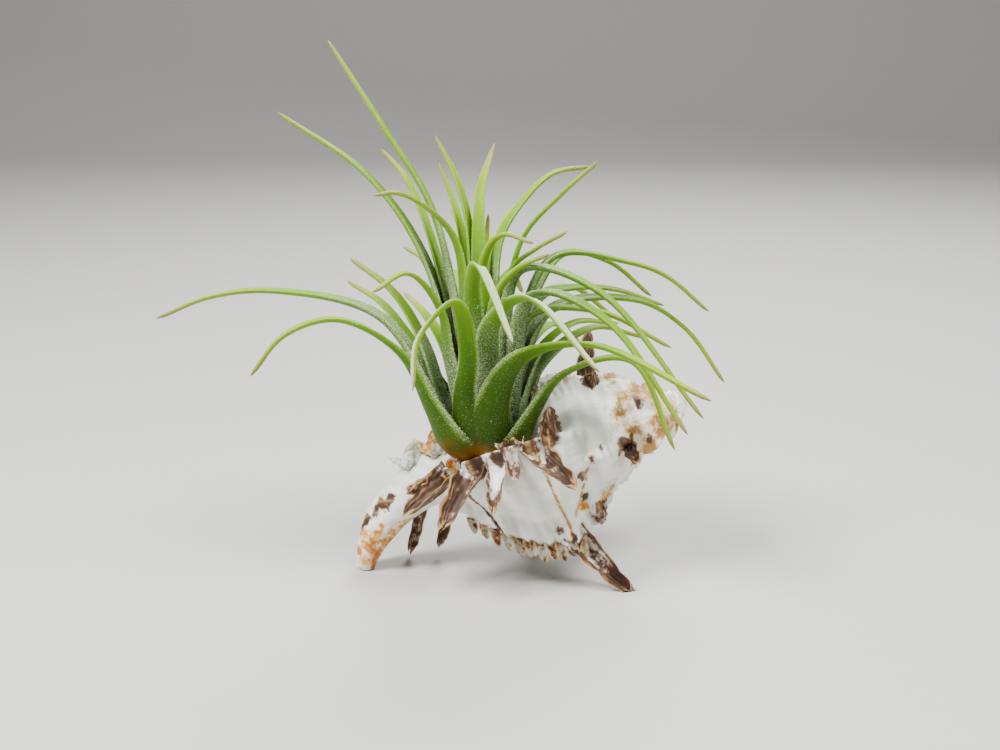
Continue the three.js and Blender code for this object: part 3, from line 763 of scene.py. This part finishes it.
def frond_brown(t, inside, brown, fold):
    """How brown a long frond is: paler near its root, and white inside its fold."""
    white = 0.9 * fold * inside * (1 - ease(0.4, 0.8, t))
    return clamp(brown * (1 - white) * mix(0.7, 1, ease(0, 0.4, t)))


def tooth_brown(number, t, side_share, inside):
    """How brown a tooth is: unevenly, and more so inside its fold and at its tip."""
    uneven = 0.3 * noise.noise((number * 1.7, t * 3, side_share))
    return clamp(mix(0.1, 0.42, inside) + uneven + 0.15 * ease(0.7, 1, t))


def crest_wear_and_groove_shade(number, t, turn, inside, rib):
    """How rubbed the surface is, on the ribs, the margins and the tip; its grooves get painted
    shade.
    """
    side_share, face = math.cos(turn), math.sin(turn)
    rubbed = 0.5 + 0.5 * rib + 0.6 * noise.noise((side_share * 4, t * 5, number + face))
    margin = 1.5 * ease(0.84, 0.97, abs(side_share)) * ease(0.15, 0.3, t)
    return max(clamp(rubbed - 0.3 * inside), margin, 1.2 * ease(0.9, 1, t))


widest = WILD_SPIKES * (1 - SPIKE_FLOOR)
print("spikes widen a broad frond by up to", round(widest, 3), "of its half width")

# %% The fronds
FROND_GRID, TOOTH_GRID = (78, 26), (32, 14)
FROND_RIBS, TOOTH_RIBS = 15, 5
FROND_TIP, TOOTH_TIP = 0.12, 0.3
BROAD_WIDTH = 4
BROAD_TAPER, SLIM_TAPER = 0.4, 0.75
BROWN_WILDNESS, WHITE_WILDNESS, TOOTH_WILDNESS = 0.16, 0.06, 0.12
SECTION_CURL, SECTION_SAG, SECTION_BULGE = 0.9, 0.6, 0.3
RIB_HEIGHT, FROND_LUMPS = 0.12, 0.2
TOOTH_TAN, TIP_TAN = 0.65, 0.5


def add_frond(bm, number, down, degrees, tip, width, bow, brown, fold):
    """Sweep one frond or tooth from its root on the shell to its tip, and add it to bm."""
    depth = min(FROND_ROOT, width / 2)
    reach = shell_radius(down, turns_before_lip(degrees))
    root = shell_point(down, degrees, reach - depth)
    outward = (shell_point(down, degrees, reach) - root).normalized()
    middle = root.lerp(tip, 0.5) + outward * bow
    across = shell_point(down + 1, degrees, reach) - shell_point(down - 1, degrees, reach)
    long_frond = number < len(FRONDS)
    broad = brown and width > BROAD_WIDTH
    wildness = BROWN_WILDNESS if brown else WHITE_WILDNESS
    size, ribs, tip_share = FROND_GRID, FROND_RIBS, FROND_TIP
    if not long_frond:
        wildness = TOOTH_WILDNESS
        size, ribs, tip_share = TOOTH_GRID, TOOTH_RIBS, TOOTH_TIP
    piece, points, layers = grid(*size, *STAINS)
    for vert, around, t in points:
        turn = 2 * math.pi * around
        side_share, face = math.cos(turn), math.sin(turn)
        ragged = noise.noise((side_share * 2.6, number * 7.7, face * 0.4))
        place = t * (1 + wildness * ragged * t)
        centre = root * (1 - place) ** 2 + middle * 2 * place * (1 - place) + tip * place ** 2
        ahead = ((middle - root) * (1 - place) + (tip - middle) * place).normalized()
        side = (across - ahead * across.dot(ahead)).normalized()
        back = side.cross(ahead)
        half = width / 2 * mix(1, BROAD_TAPER if broad else SLIM_TAPER, t)
        half *= math.sqrt(clamp((1.01 - t) / tip_share))
        half *= margin_spikes(number, t, side_share, WILD_SPIKES if broad else MILD_SPIKES)
        half *= 1 + WIDTH_WAVER * noise.noise((t * 6, number * 3.1, side_share * 2))
        hollow = SECTION_SAG if face < 0 else SECTION_BULGE
        curl = SECTION_CURL * side_share ** 2 - hollow * (1 - side_share ** 2)
        rib = rib_wave(number, t, turn, ribs)
        lift = curl + RIB_HEIGHT * rib * (1 - abs(side_share) ** 6)
        lift += FROND_LUMPS * noise.noise((t * 8, number * 5.3, side_share * 3))
        vert.co = centre + side * side_share * half + back * lift * half
        vert.co.z = max(vert.co.z, 0)
        inside = clamp(face * 2) * (1 - ease(0.5, 0.85, abs(side_share)))
        vert[layers["brown"]] = (frond_brown(t, inside, brown, fold) if long_frond
                                 else tooth_brown(number, t, side_share, inside))
        vert[layers["tan"]] = TIP_TAN * ease(0.8, 1, t) if long_frond else TOOTH_TAN
        vert[layers["orange"]] = 0 if brown else clamp((60 - down) / 12) * ease(0.75, 1, t)
        vert[layers["crest"]] = crest_wear_and_groove_shade(number, t, turn, inside, rib)
    bmesh.ops.remove_doubles(piece, verts=piece.verts, dist=MERGE_DISTANCE)
    add_to(bm, piece)


bm, _ = new_mesh(STAINS)
for number, blade in enumerate(blades):
    add_frond(bm, number, *blade)
fronds = finish_piece(bm, "murex_fronds", ["murex_shell"], frond_finish)
print("fronds:", len(fronds.data.polygons), "faces")

# %% [markdown]
# The stem is short and hidden by the leaves' feet, save for a brown sliver at the front.
# Its outline is a smooth line through a few points, and a grid is wrapped round by it.

# %% The stem
STEM_HEIGHT = 15
STEM_ROUNDING, STEM_ROUGHNESS = 0.6, 0.06
INSIDE_SOLID = 0.97
stem_radius = smooth_line([
    (0, 2.0), (1.5, 2.7), (5, 3.4), (7, 4.9), (9, 5.2), (11, 4.5), (13, 3.1),
    (STEM_HEIGHT, 1.5)])
bm, points, _ = grid(40, 30)
for vert, around, along in points:
    turn = 2 * math.pi * around
    height = STEM_HEIGHT * along
    close = math.sqrt(clamp(height / STEM_ROUNDING))
    close *= math.sqrt(clamp((STEM_HEIGHT - height) / STEM_ROUNDING))
    bark = noise.noise((math.cos(turn) * 3, math.sin(turn) * 3, height * 0.6))
    radius = stem_radius(height) * close * (1 + STEM_ROUGHNESS * bark) * INSIDE_SOLID
    vert.co = STEM + Vector((radius * math.cos(turn), radius * math.sin(turn), height))
stem = finish_piece(bm, "plant_root", ["plant_stem"], stem_finish)
print("stem:", len(stem.data.polygons), "faces")

# %% [markdown]
# A leaf leaves the stem steeply, wraps the plant with its broad foot, narrows, and bends
# over in an arch of its own. Its centre line is a smooth curve through a few places, and
# each stretch of it is a Bezier curve. A closed section is swept along it: a channel with
# rounded margins, deep at the foot and almost round at the tip. Where the leaf bends over,
# the section turns little by little until its inner face looks up.

# %% Driving dimensions of the leaves
FIRST_LEAF, LAST_LEAF = 5.5, 14.4
BULGE_X, BULGE_Y, BULGE_HEIGHT = (9.6, 2.4), (7.2, 2.4), (9.2, 20.5)
SLIM_FOOT_SHARE, SLIM_FOOT_LENGTH = 0.5, 0.25
LEAF_THICKNESS = (1.5, 0.8)
LEAF_WRAP = (0.55, 0.25)
THINNEST = 0.3
UPTURN = 6
INNER_FROM = 0.25
ROOT_DEPTH, INWARD_POWER = 0.8, 0.8
CURVE_POINTS = 40
outer_leaf = smooth_line([
    (0, 0.7), (0.06, 1), (0.13, 1), (0.24, 0.68), (0.36, 0.48), (0.55, 0.38), (0.8, 0.27),
    (1, 0.1)])
inner_leaf = smooth_line([
    (0, 0.7), (0.06, 1), (0.13, 1), (0.24, 0.8), (0.36, 0.64), (0.55, 0.48), (0.8, 0.3),
    (1, 0.1)])

# Each row: the direction in which the leaf leaves the stem, its width, and its places
LEAVES = [
    (223, 10.6, (-13.6, -8.2, 37.5), (-19.6, -9.4, 50), (-31, -10.5, 56.6), (-41, -12, 54),
     (-47.5, -13, 46.5)),
    (324, 8.4, (6.8, -7.4, 36.6), (12.6, -8.8, 45.6), (25, -11.5, 48.8), (33.6, -13.5, 32)),
    (92, 7.6, (-4, 14, 44), (-5, 28, 49), (-6, 40, 40)),
    (278, 10, (-1.4, -10.4, 38.5), (3.4, -11.5, 48.5), (16.8, -17, 53.3), (38.6, -24, 44.6)),
    (250, 8.4, (-7.2, -9.5, 40.5), (-6.2, -12, 50), (-8.6, -15.5, 61), (-15.2, -18.5, 54.8),
     (-16.2, -21, 46)),
    (55, 7.6, (4, 12, 43), (11, 23, 48), (18, 34, 41)),
    (126, 7.4, (-9, 11, 42), (-12, 22, 47), (-13, 31, 44)),
    (20, 7.4, (8, 5, 43), (19, 11, 50), (30, 16, 47)),
    (168, 7.6, (-15.5, 3, 48.5), (-21.5, 6, 58.5), (-30, 8, 65)),
    (186, 7.8, (-23.5, 0, 54.5), (-44.5, 2, 59.6), (-57.5, 2.5, 58.4), (-68.5, 3, 54)),
    (276, 8.0, (-2.4, -7.5, 46), (-1.5, -11, 56), (5, -15, 61.8), (18, -23, 50)),
    (75, 7.2, (-1, 13, 52), (2, 26, 58), (5, 38, 52)),
    (150, 7.2, (-18, 6, 48), (-24, 9, 55.5), (-31, 12, 59.5)),
    (0, 7.2, (8, 1, 47.5), (15, 3, 53), (23.5, 5, 52.5)),
    (328, 7.4, (6.5, -8, 61), (19.6, -13.5, 57.5), (35.5, -17.5, 36.2)),
    (108, 7.0, (-7, 12, 53), (-10, 24, 59), (-12, 35, 56)),
    (38, 7.0, (5, 10, 53), (14, 20, 57), (24, 29, 49)),
    (345, 7.0, (6, -3, 55.5), (19.5, -3, 56.5), (33.5, -3, 49.5)),
    (143, 7.0, (-11, 9, 46), (-16, 14.5, 52.5), (-20, 19.5, 55.5)),
    (256, 7.4, (-5, -6.5, 54), (-5.4, -9.5, 63.5), (-4.2, -13, 67.6), (2.2, -23, 55.5)),
    (6, 7.0, (10, 2, 55.5), (27, 5, 57.2), (37.5, 7, 51), (46, 8, 39.5)),
    (212, 7.0, (-10.4, -5.5, 48.5), (-11.6, -6.5, 57.5), (-17.5, -10.5, 65.7),
     (-23.5, -14, 63)),
    (338, 7.0, (4, -5, 65), (18.5, -9, 62), (39, -13, 38)),
    (132, 6.8, (-13, 8, 59.5), (-16, 12, 64.5), (-19.5, 15, 66)),
    (88, 6.6, (-3, 10, 61), (-2, 20, 67), (0, 31, 65)),
    (26, 6.8, (8, 7.5, 57), (14, 9.5, 58.6), (23.5, 11.5, 58), (33.5, 13, 54.5)),
    (355, 6.8, (10, 0, 66.5), (25.5, 2, 65.4), (33, 2.5, 62.6), (41.5, 3, 55.5)),
    (304, 6.4, (-0.8, -5.4, 59.2), (3.5, -7, 66), (9, -9, 69)),
    (175, 6.8, (-15, 1, 66.5), (-26, 3, 82.5), (-43, 4, 94.5)),
    (60, 6.4, (1, 9, 60), (6, 17, 62), (12, 26, 59)),
    (218, 6.6, (-8.5, -4, 70), (-13, -6.5, 76.8), (-19, -9.5, 80.8), (-23.2, -12, 80.8)),
    (30, 6.4, (12, 6, 66), (21.5, 9, 64.5), (31, 13, 56.5)),
    (115, 6.2, (-6, 8, 63), (-8, 14, 70), (-10, 20, 73)),
    (315, 5.8, (-3, -4.2, 67), (0.5, -7, 72.5), (6, -10, 71.5)),
    (150, 6.2, (-14, 4, 70.5), (-18.5, 8, 81), (-23.5, 11, 86.5)),
    (345, 6.4, (4, -2, 70), (11.5, -3, 79.4), (18.5, -4, 86)),
    (188, 6.8, (-13, 0, 75.5), (-22.5, 1, 92), (-32.5, 2, 108)),
    (325, 5.6, (2, -3, 64.5), (7, -5, 69.5), (12.5, -7, 73)),
    (70, 5.8, (-1, 6, 65), (1, 12, 72), (4, 18, 75)),
    (20, 6.2, (0, 1, 69.5), (5, 2.5, 78), (10.5, 4, 82.8), (17.5, 5, 84)),
    (130, 5.2, (-7.5, 5, 69.5), (-9.5, 8, 77), (-12, 10, 83.5)),
    (165, 6.0, (-6, 2, 70.5), (-8.5, 4, 81.5), (-12.5, 6, 89.5)),
    (290, 5.4, (-3, 2, 65.5), (-2.6, 3, 70), (-2.3, 3, 74.5)),
    (80, 7.0, (-4.2, 1, 72), (-3.6, 3, 80.5), (-1.2, 6, 88)),
]
print(len(LEAVES), "leaves")


# %% The centre line of a leaf
def even_places(knots, count):
    """Places at even distances along a smooth curve through the knots."""
    knots = [2 * knots[0] - knots[1], *knots, 2 * knots[-1] - knots[-2]]
    line = []
    for before, start, end, after in zip(knots, knots[1:], knots[2:], knots[3:]):
        gaps = [math.sqrt((b - a).length)
                for a, b in ((before, start), (start, end), (end, after))]
        leave = ((start - before) / gaps[0] - (end - before) / (gaps[0] + gaps[1])
                 + (end - start) / gaps[1]) * gaps[1]
        arrive = ((end - start) / gaps[1] - (after - start) / (gaps[1] + gaps[2])
                  + (after - end) / gaps[2]) * gaps[1]
        line += geometry.interpolate_bezier(
            start, start + leave / 3, end - arrive / 3, end, CURVE_POINTS)
    distances = [0]
    for a, b in zip(line, line[1:]):
        distances.append(distances[-1] + (b - a).length)
    places = []
    for k in range(count + 1):
        goal = distances[-1] * k / count
        i = min(max(bisect.bisect_left(distances, goal), 1), len(line) - 1)
        step = distances[i] - distances[i - 1]
        places.append(line[i - 1].lerp(line[i], (goal - distances[i - 1]) / step if step else 1))
    return places, distances[-1]


def leaf_line(azimuth, places, order, count):
    """A leaf's centre line. Its order is 0 for the outermost leaf and 1 for the innermost."""
    turn = math.radians(azimuth)
    out = Vector((math.cos(turn), math.sin(turn), 0))
    height = mix(FIRST_LEAF, LAST_LEAF, order)
    root = STEM + out * stem_radius(height) * ROOT_DEPTH + Vector((0, 0, height))
    inward = order ** INWARD_POWER
    bulge = STEM + Vector((out.x * mix(*BULGE_X, inward), out.y * mix(*BULGE_Y, inward),
                           mix(*BULGE_HEIGHT, inward)))
    return even_places([root, bulge, *[Vector(place) for place in places]], count)


print("a leaf's centre line has", CURVE_POINTS, "points from one place to the next")

# %% [markdown]
# How silvery a leaf is depends on the place: the channel is white with scales up to the
# middle of a leaf, and up to the tip on those that droop to the front, whose azimuth lies
# between the two values of DROOPING. The backs of the inner leaves are dusted up to their
# bend, and the backs of the outermost ones are almost bare. The same measure thins out the
# small raised scales below.

# %% A leaf's surface and its silver
LEAF_COLUMNS, LEAF_ROWS = 16, 60
LEAF_TIP = 1.0
SQUARENESS = 0.8
INNER_DEPTH, OUTER_DEPTH, MARGIN_LIFT = 0.8, 1.2, 0.3
LEAF_WAVER = 0.05
TIP_ROUNDING, FOOT_ROUNDING = 0.02, 0.01
DROOPING = (240, 278)
DROOPING_FROST, FROST = 1.0, 0.14
DROOPING_EDGING, EDGING = 1.1, 0.6
CHANNEL_SILVER, BACK_SILVER = 0.95, (0.14, 0.85)
BACK_TIP_SHARE, MARGIN_TIP_SILVER = 0.16, 0.12
SILVER_CLOUDS, CLOUD_SCALE = 0.12, 0.25


class Leaf:
    """The surface of one leaf, by share of the way round its section and along it."""

    def __init__(self, number, azimuth, width, places):
        self.number, self.width = number, width
        drooping = DROOPING[0] < azimuth < DROOPING[1]
        self.frost = DROOPING_FROST if drooping else FROST
        self.edging = DROOPING_EDGING if drooping else EDGING
        self.order = number / (len(LEAVES) - 1)
        self.line, self.length = leaf_line(azimuth, places, self.order, LEAF_ROWS)
        self.line[-1] += (self.line[-1] - self.line[-2]).normalized() * LEAF_TIP
        turn = math.radians(azimuth)
        inner = Vector((-math.cos(turn), -math.sin(turn), 0))
        self.sides, self.inners = [], []
        for k in range(LEAF_ROWS + 1):
            ahead = self.line[min(k + 1, LEAF_ROWS)] - self.line[max(k - 1, 0)]
            ahead.normalize()
            inner.z += UPTURN / LEAF_ROWS
            inner = (inner - ahead * inner.dot(ahead)).normalized()
            self.sides.append(ahead.cross(inner))
            self.inners.append(inner.copy())

    def section(self, s):
        """The centre, the side direction and the inner direction of the leaf there."""
        k = min(int(s * LEAF_ROWS), LEAF_ROWS - 1)
        part = s * LEAF_ROWS - k
        return [row[k].lerp(row[k + 1], part) for row in (self.line, self.sides, self.inners)]

    def point(self, around, s):
        """The place on its surface: a runs from margin to margin, b from back to channel."""
        centre, side, inner = self.section(s)
        turn = 2 * math.pi * around
        face = math.sin(turn)
        a = math.copysign(abs(math.cos(turn)) ** SQUARENESS, math.cos(turn))
        b = math.copysign(abs(face) ** SQUARENESS, face)
        b = (INNER_DEPTH if face > 0 else OUTER_DEPTH) * b + MARGIN_LIFT * a * a
        slim = 1 - SLIM_FOOT_SHARE * self.order * max(0, 1 - s / SLIM_FOOT_LENGTH)
        inward = min(1, self.order / INNER_FROM)
        share = mix(outer_leaf(s), inner_leaf(s), inward) * slim
        half = max(THINNEST, self.width / 2 * share)
        half *= 1 + LEAF_WAVER * noise.noise((s * 9, self.number * 3.7, 0.5))
        thick = mix(*LEAF_THICKNESS, min(1, s * 1.5)) / 2
        wrap = half * mix(*LEAF_WRAP, min(1, s * 2))
        close = math.sqrt(clamp((1 - s) / TIP_ROUNDING)) * math.sqrt(clamp(s / FOOT_ROUNDING))
        return centre + side * a * half * close + inner * (b * thick + a * a * wrap) * close

    def margin(self, around):
        return ease(0.7, 0.95, abs(math.cos(2 * math.pi * around)))

    def silver(self, around, s, place):
        """How silvery the leaf is there, 0 to 1: in its channel, on its back, at its margins."""
        inside = ease(-0.25, 0.35, math.sin(2 * math.pi * around))
        channel = mix(CHANNEL_SILVER, self.frost, ease(0.4, 0.65, s))
        back = mix(*BACK_SILVER, ease(0.1, 0.26, self.order))
        back *= mix(1, BACK_TIP_SHARE, ease(0.32, 0.6, s))
        cover = mix(back, channel, inside) * ease(0.02, 0.16 - 0.08 * self.order, s)
        edge = self.margin(around) * mix(self.edging, MARGIN_TIP_SILVER, ease(0.3, 0.55, s))
        edge *= ease(0.04, 0.2, s)
        return clamp(cover + SILVER_CLOUDS * noise.noise(place * CLOUD_SCALE) + edge)


leaves = [Leaf(number, azimuth, width, places)
          for number, (azimuth, width, *places) in enumerate(LEAVES)]
print("the longest leaf is", round(max(leaf.length for leaf in leaves), 1), "mm long")

# %% The leaves
SEED = 12
DRY_BELOW, DRY_FADE, DRY_CLOUDS = 31, (3, 2), 2
random.seed(SEED)
for leaf in leaves:
    tone = random.random()
    bm, points, layers = grid(LEAF_COLUMNS, LEAF_ROWS, "silver", "tone", "margin", "dry")
    for vert, around, s in points:
        vert.co = leaf.point(around, s)
        height = vert.co.z + DRY_CLOUDS * noise.noise(vert.co * CLOUD_SCALE)
        vert[layers["silver"]] = leaf.silver(around, s, vert.co)
        vert[layers["tone"]] = tone
        # The margin mask: where the finish paints a rim light along both edges.
        vert[layers["margin"]] = leaf.margin(around) * ease(0.05, 0.3, s)
        vert[layers["dry"]] = 1 - ease(DRY_BELOW - DRY_FADE[0], DRY_BELOW + DRY_FADE[1], height)
    name = f"leaf_{leaf.number + 1:02d}"
    piece = finish_piece(bm, f"air_{name}", [name], leaf_finish)
    rounding = piece.modifiers.new("rounding", "SUBSURF")
    rounding.levels = rounding.render_levels = 1
print(len(leaves), "leaves,", len(piece.data.polygons), "faces each before rounding")

# %% [markdown]
# Seen close, the silver is a down of tiny raised scales that break up the leaves' outline.
# Each is a flat cone of four sides. They are strewn by chance where the leaf is silvery, and
# thickest along the margins.

# %% The raised scales
SCALES_PER_LEAF = 520
SCALES_FROM, SCALES_LENGTH, TO_THE_FOOT = 0.07, 0.9, 1.2
MARGIN_SCALES, MARGIN_SPREAD = 0.45, 0.03
SCALE_RADIUS, SCALE_TIP, SCALE_HEIGHT = (0.06, 0.11), 0.01, 0.08
SCALE_TILT, SCALE_LIFT = 0.3, 0.02
THINNING = 1.5
NUDGE = 0.01
all_scales = bmesh.new()
for leaf in leaves:
    bm = bmesh.new()
    for _ in range(SCALES_PER_LEAF):
        s = SCALES_FROM + SCALES_LENGTH * random.random() ** TO_THE_FOOT
        around = random.random()
        if random.random() < MARGIN_SCALES:
            around = (round(2 * around) / 2 + random.gauss(0, MARGIN_SPREAD)) % 1
        place = leaf.point(around, s)
        if random.random() > leaf.silver(around, s, place) ** THINNING:
            continue
        round_it = leaf.point((around + NUDGE) % 1, s) - place
        along_it = leaf.point(around, s + NUDGE) - place
        normal = round_it.cross(along_it).normalized()
        if normal.dot(place - leaf.section(s)[0]) < 0:
            normal.negate()
        tilt = Vector([random.gauss(0, SCALE_TILT) for _ in range(3)])
        stand = (normal + tilt).to_track_quat("Z", "Y").to_matrix().to_4x4()
        stand = Matrix.Translation(place + normal * SCALE_LIFT) @ stand
        bmesh.ops.create_cone(
            bm, cap_ends=True, segments=4, radius1=random.uniform(*SCALE_RADIUS),
            radius2=SCALE_TIP, depth=SCALE_HEIGHT, matrix=stand)
    add_to(all_scales, bm)
names = [f"leaf_{leaf.number + 1:02d}" for leaf in leaves]
scales = finish_piece(all_scales, "leaf_scales", names, scale_finish, merge=False)
print("raised scales:", len(scales.data.polygons), "faces")

# %% [markdown]
# The set is a pale floor that curves up into a backdrop, a soft light from the upper left,
# one from above on the right, a weaker one behind and an even grey sky. The camera stands
# where the photograph's did: 15 degrees above the horizon and about 30 cm away. The set is
# in metres.

# %% Floor
FLOOR_HALF, FLOOR_DEPTH = 1.2, 0.7
BEND_RADIUS, BEND_DEGREES, BEND_STEPS = 0.4, 80, 16
bm = bmesh.new()
front = [bm.verts.new((x, -FLOOR_HALF, 0)) for x in (-FLOOR_HALF, FLOOR_HALF)]
edge = bm.edges.new(front)
floor_end = bmesh.ops.extrude_edge_only(bm, edges=[edge])["geom"]
line = [item for item in floor_end if isinstance(item, bmesh.types.BMVert)]
bmesh.ops.translate(bm, vec=(0, FLOOR_HALF + FLOOR_DEPTH, 0), verts=line)
edge = next(item for item in floor_end if isinstance(item, bmesh.types.BMEdge))
bmesh.ops.spin(
    bm, geom=[edge, *line], cent=(0, FLOOR_DEPTH, BEND_RADIUS), axis=(1, 0, 0),
    dvec=(0, 0, 0), angle=math.radians(BEND_DEGREES), steps=BEND_STEPS, use_duplicate=False)
for face in bm.faces:
    face.smooth = True
mesh = bpy.data.meshes.new("floor")
bm.to_mesh(mesh)
bm.free()
floor = bpy.data.objects.new("floor", mesh)
bpy.context.collection.objects.link(floor)
floor_finish, tree, surface = new_material("pale_floor")
surface["Base Color"].default_value = srgb(176, 175, 172)
surface["Roughness"].default_value = 0.7
floor.data.materials.append(floor_finish)
print("floor:", len(floor.data.polygons), "faces")

# %% Lights
LIGHTS_AIM = Vector((0, 0, 0.05))
SKY_COLOUR, SKY_STRENGTH = (0.83, 0.82, 0.8, 1), 0.25


def soft_light(name, place, size, watts):
    lamp = bpy.data.lights.new(name, "AREA")
    lamp.shape = "DISK"
    lamp.size = size
    lamp.energy = watts
    light = bpy.data.objects.new(name, lamp)
    light.location = place
    light.rotation_euler = (LIGHTS_AIM - light.location).to_track_quat("-Z", "Y").to_euler()
    bpy.context.collection.objects.link(light)


soft_light("key", (-0.3, -0.2, 0.5), size=0.2, watts=9)
soft_light("top", (0.24, -0.22, 0.55), size=0.25, watts=6.5)
soft_light("rim", (0.12, 0.42, 0.45), size=0.3, watts=4)
world = bpy.data.worlds.new("even_sky")
world.use_nodes = True
sky = world.node_tree.nodes["Background"].inputs
sky["Color"].default_value = SKY_COLOUR
sky["Strength"].default_value = SKY_STRENGTH
bpy.context.scene.world = world
print("lights:", [light.name for light in bpy.data.lights])

# %% Camera
CAMERA_DISTANCE, CAMERA_AIM = 0.300, 0.043
CAMERA_RISE = math.radians(15)
FOCAL_PIXELS, IMAGE_PIXELS = 1500, 1000
lens = bpy.data.cameras.new("camera")
lens.sensor_width = 36
lens.lens = lens.sensor_width * FOCAL_PIXELS / IMAGE_PIXELS
lens.clip_start = 0.01
camera = bpy.data.objects.new("camera", lens)
target = OFFSET + Vector((0, 0, CAMERA_AIM))
camera.location = target + CAMERA_DISTANCE * Vector(
    (0, -math.cos(CAMERA_RISE), math.sin(CAMERA_RISE)))
camera.rotation_euler = (target - camera.location).to_track_quat("-Z", "Y").to_euler()
bpy.context.collection.objects.link(camera)
bpy.context.scene.camera = camera
print("camera at", [round(v, 3) for v in camera.location], "with a lens of", lens.lens, "mm")

# %% The end
bpy.context.view_layer.update()
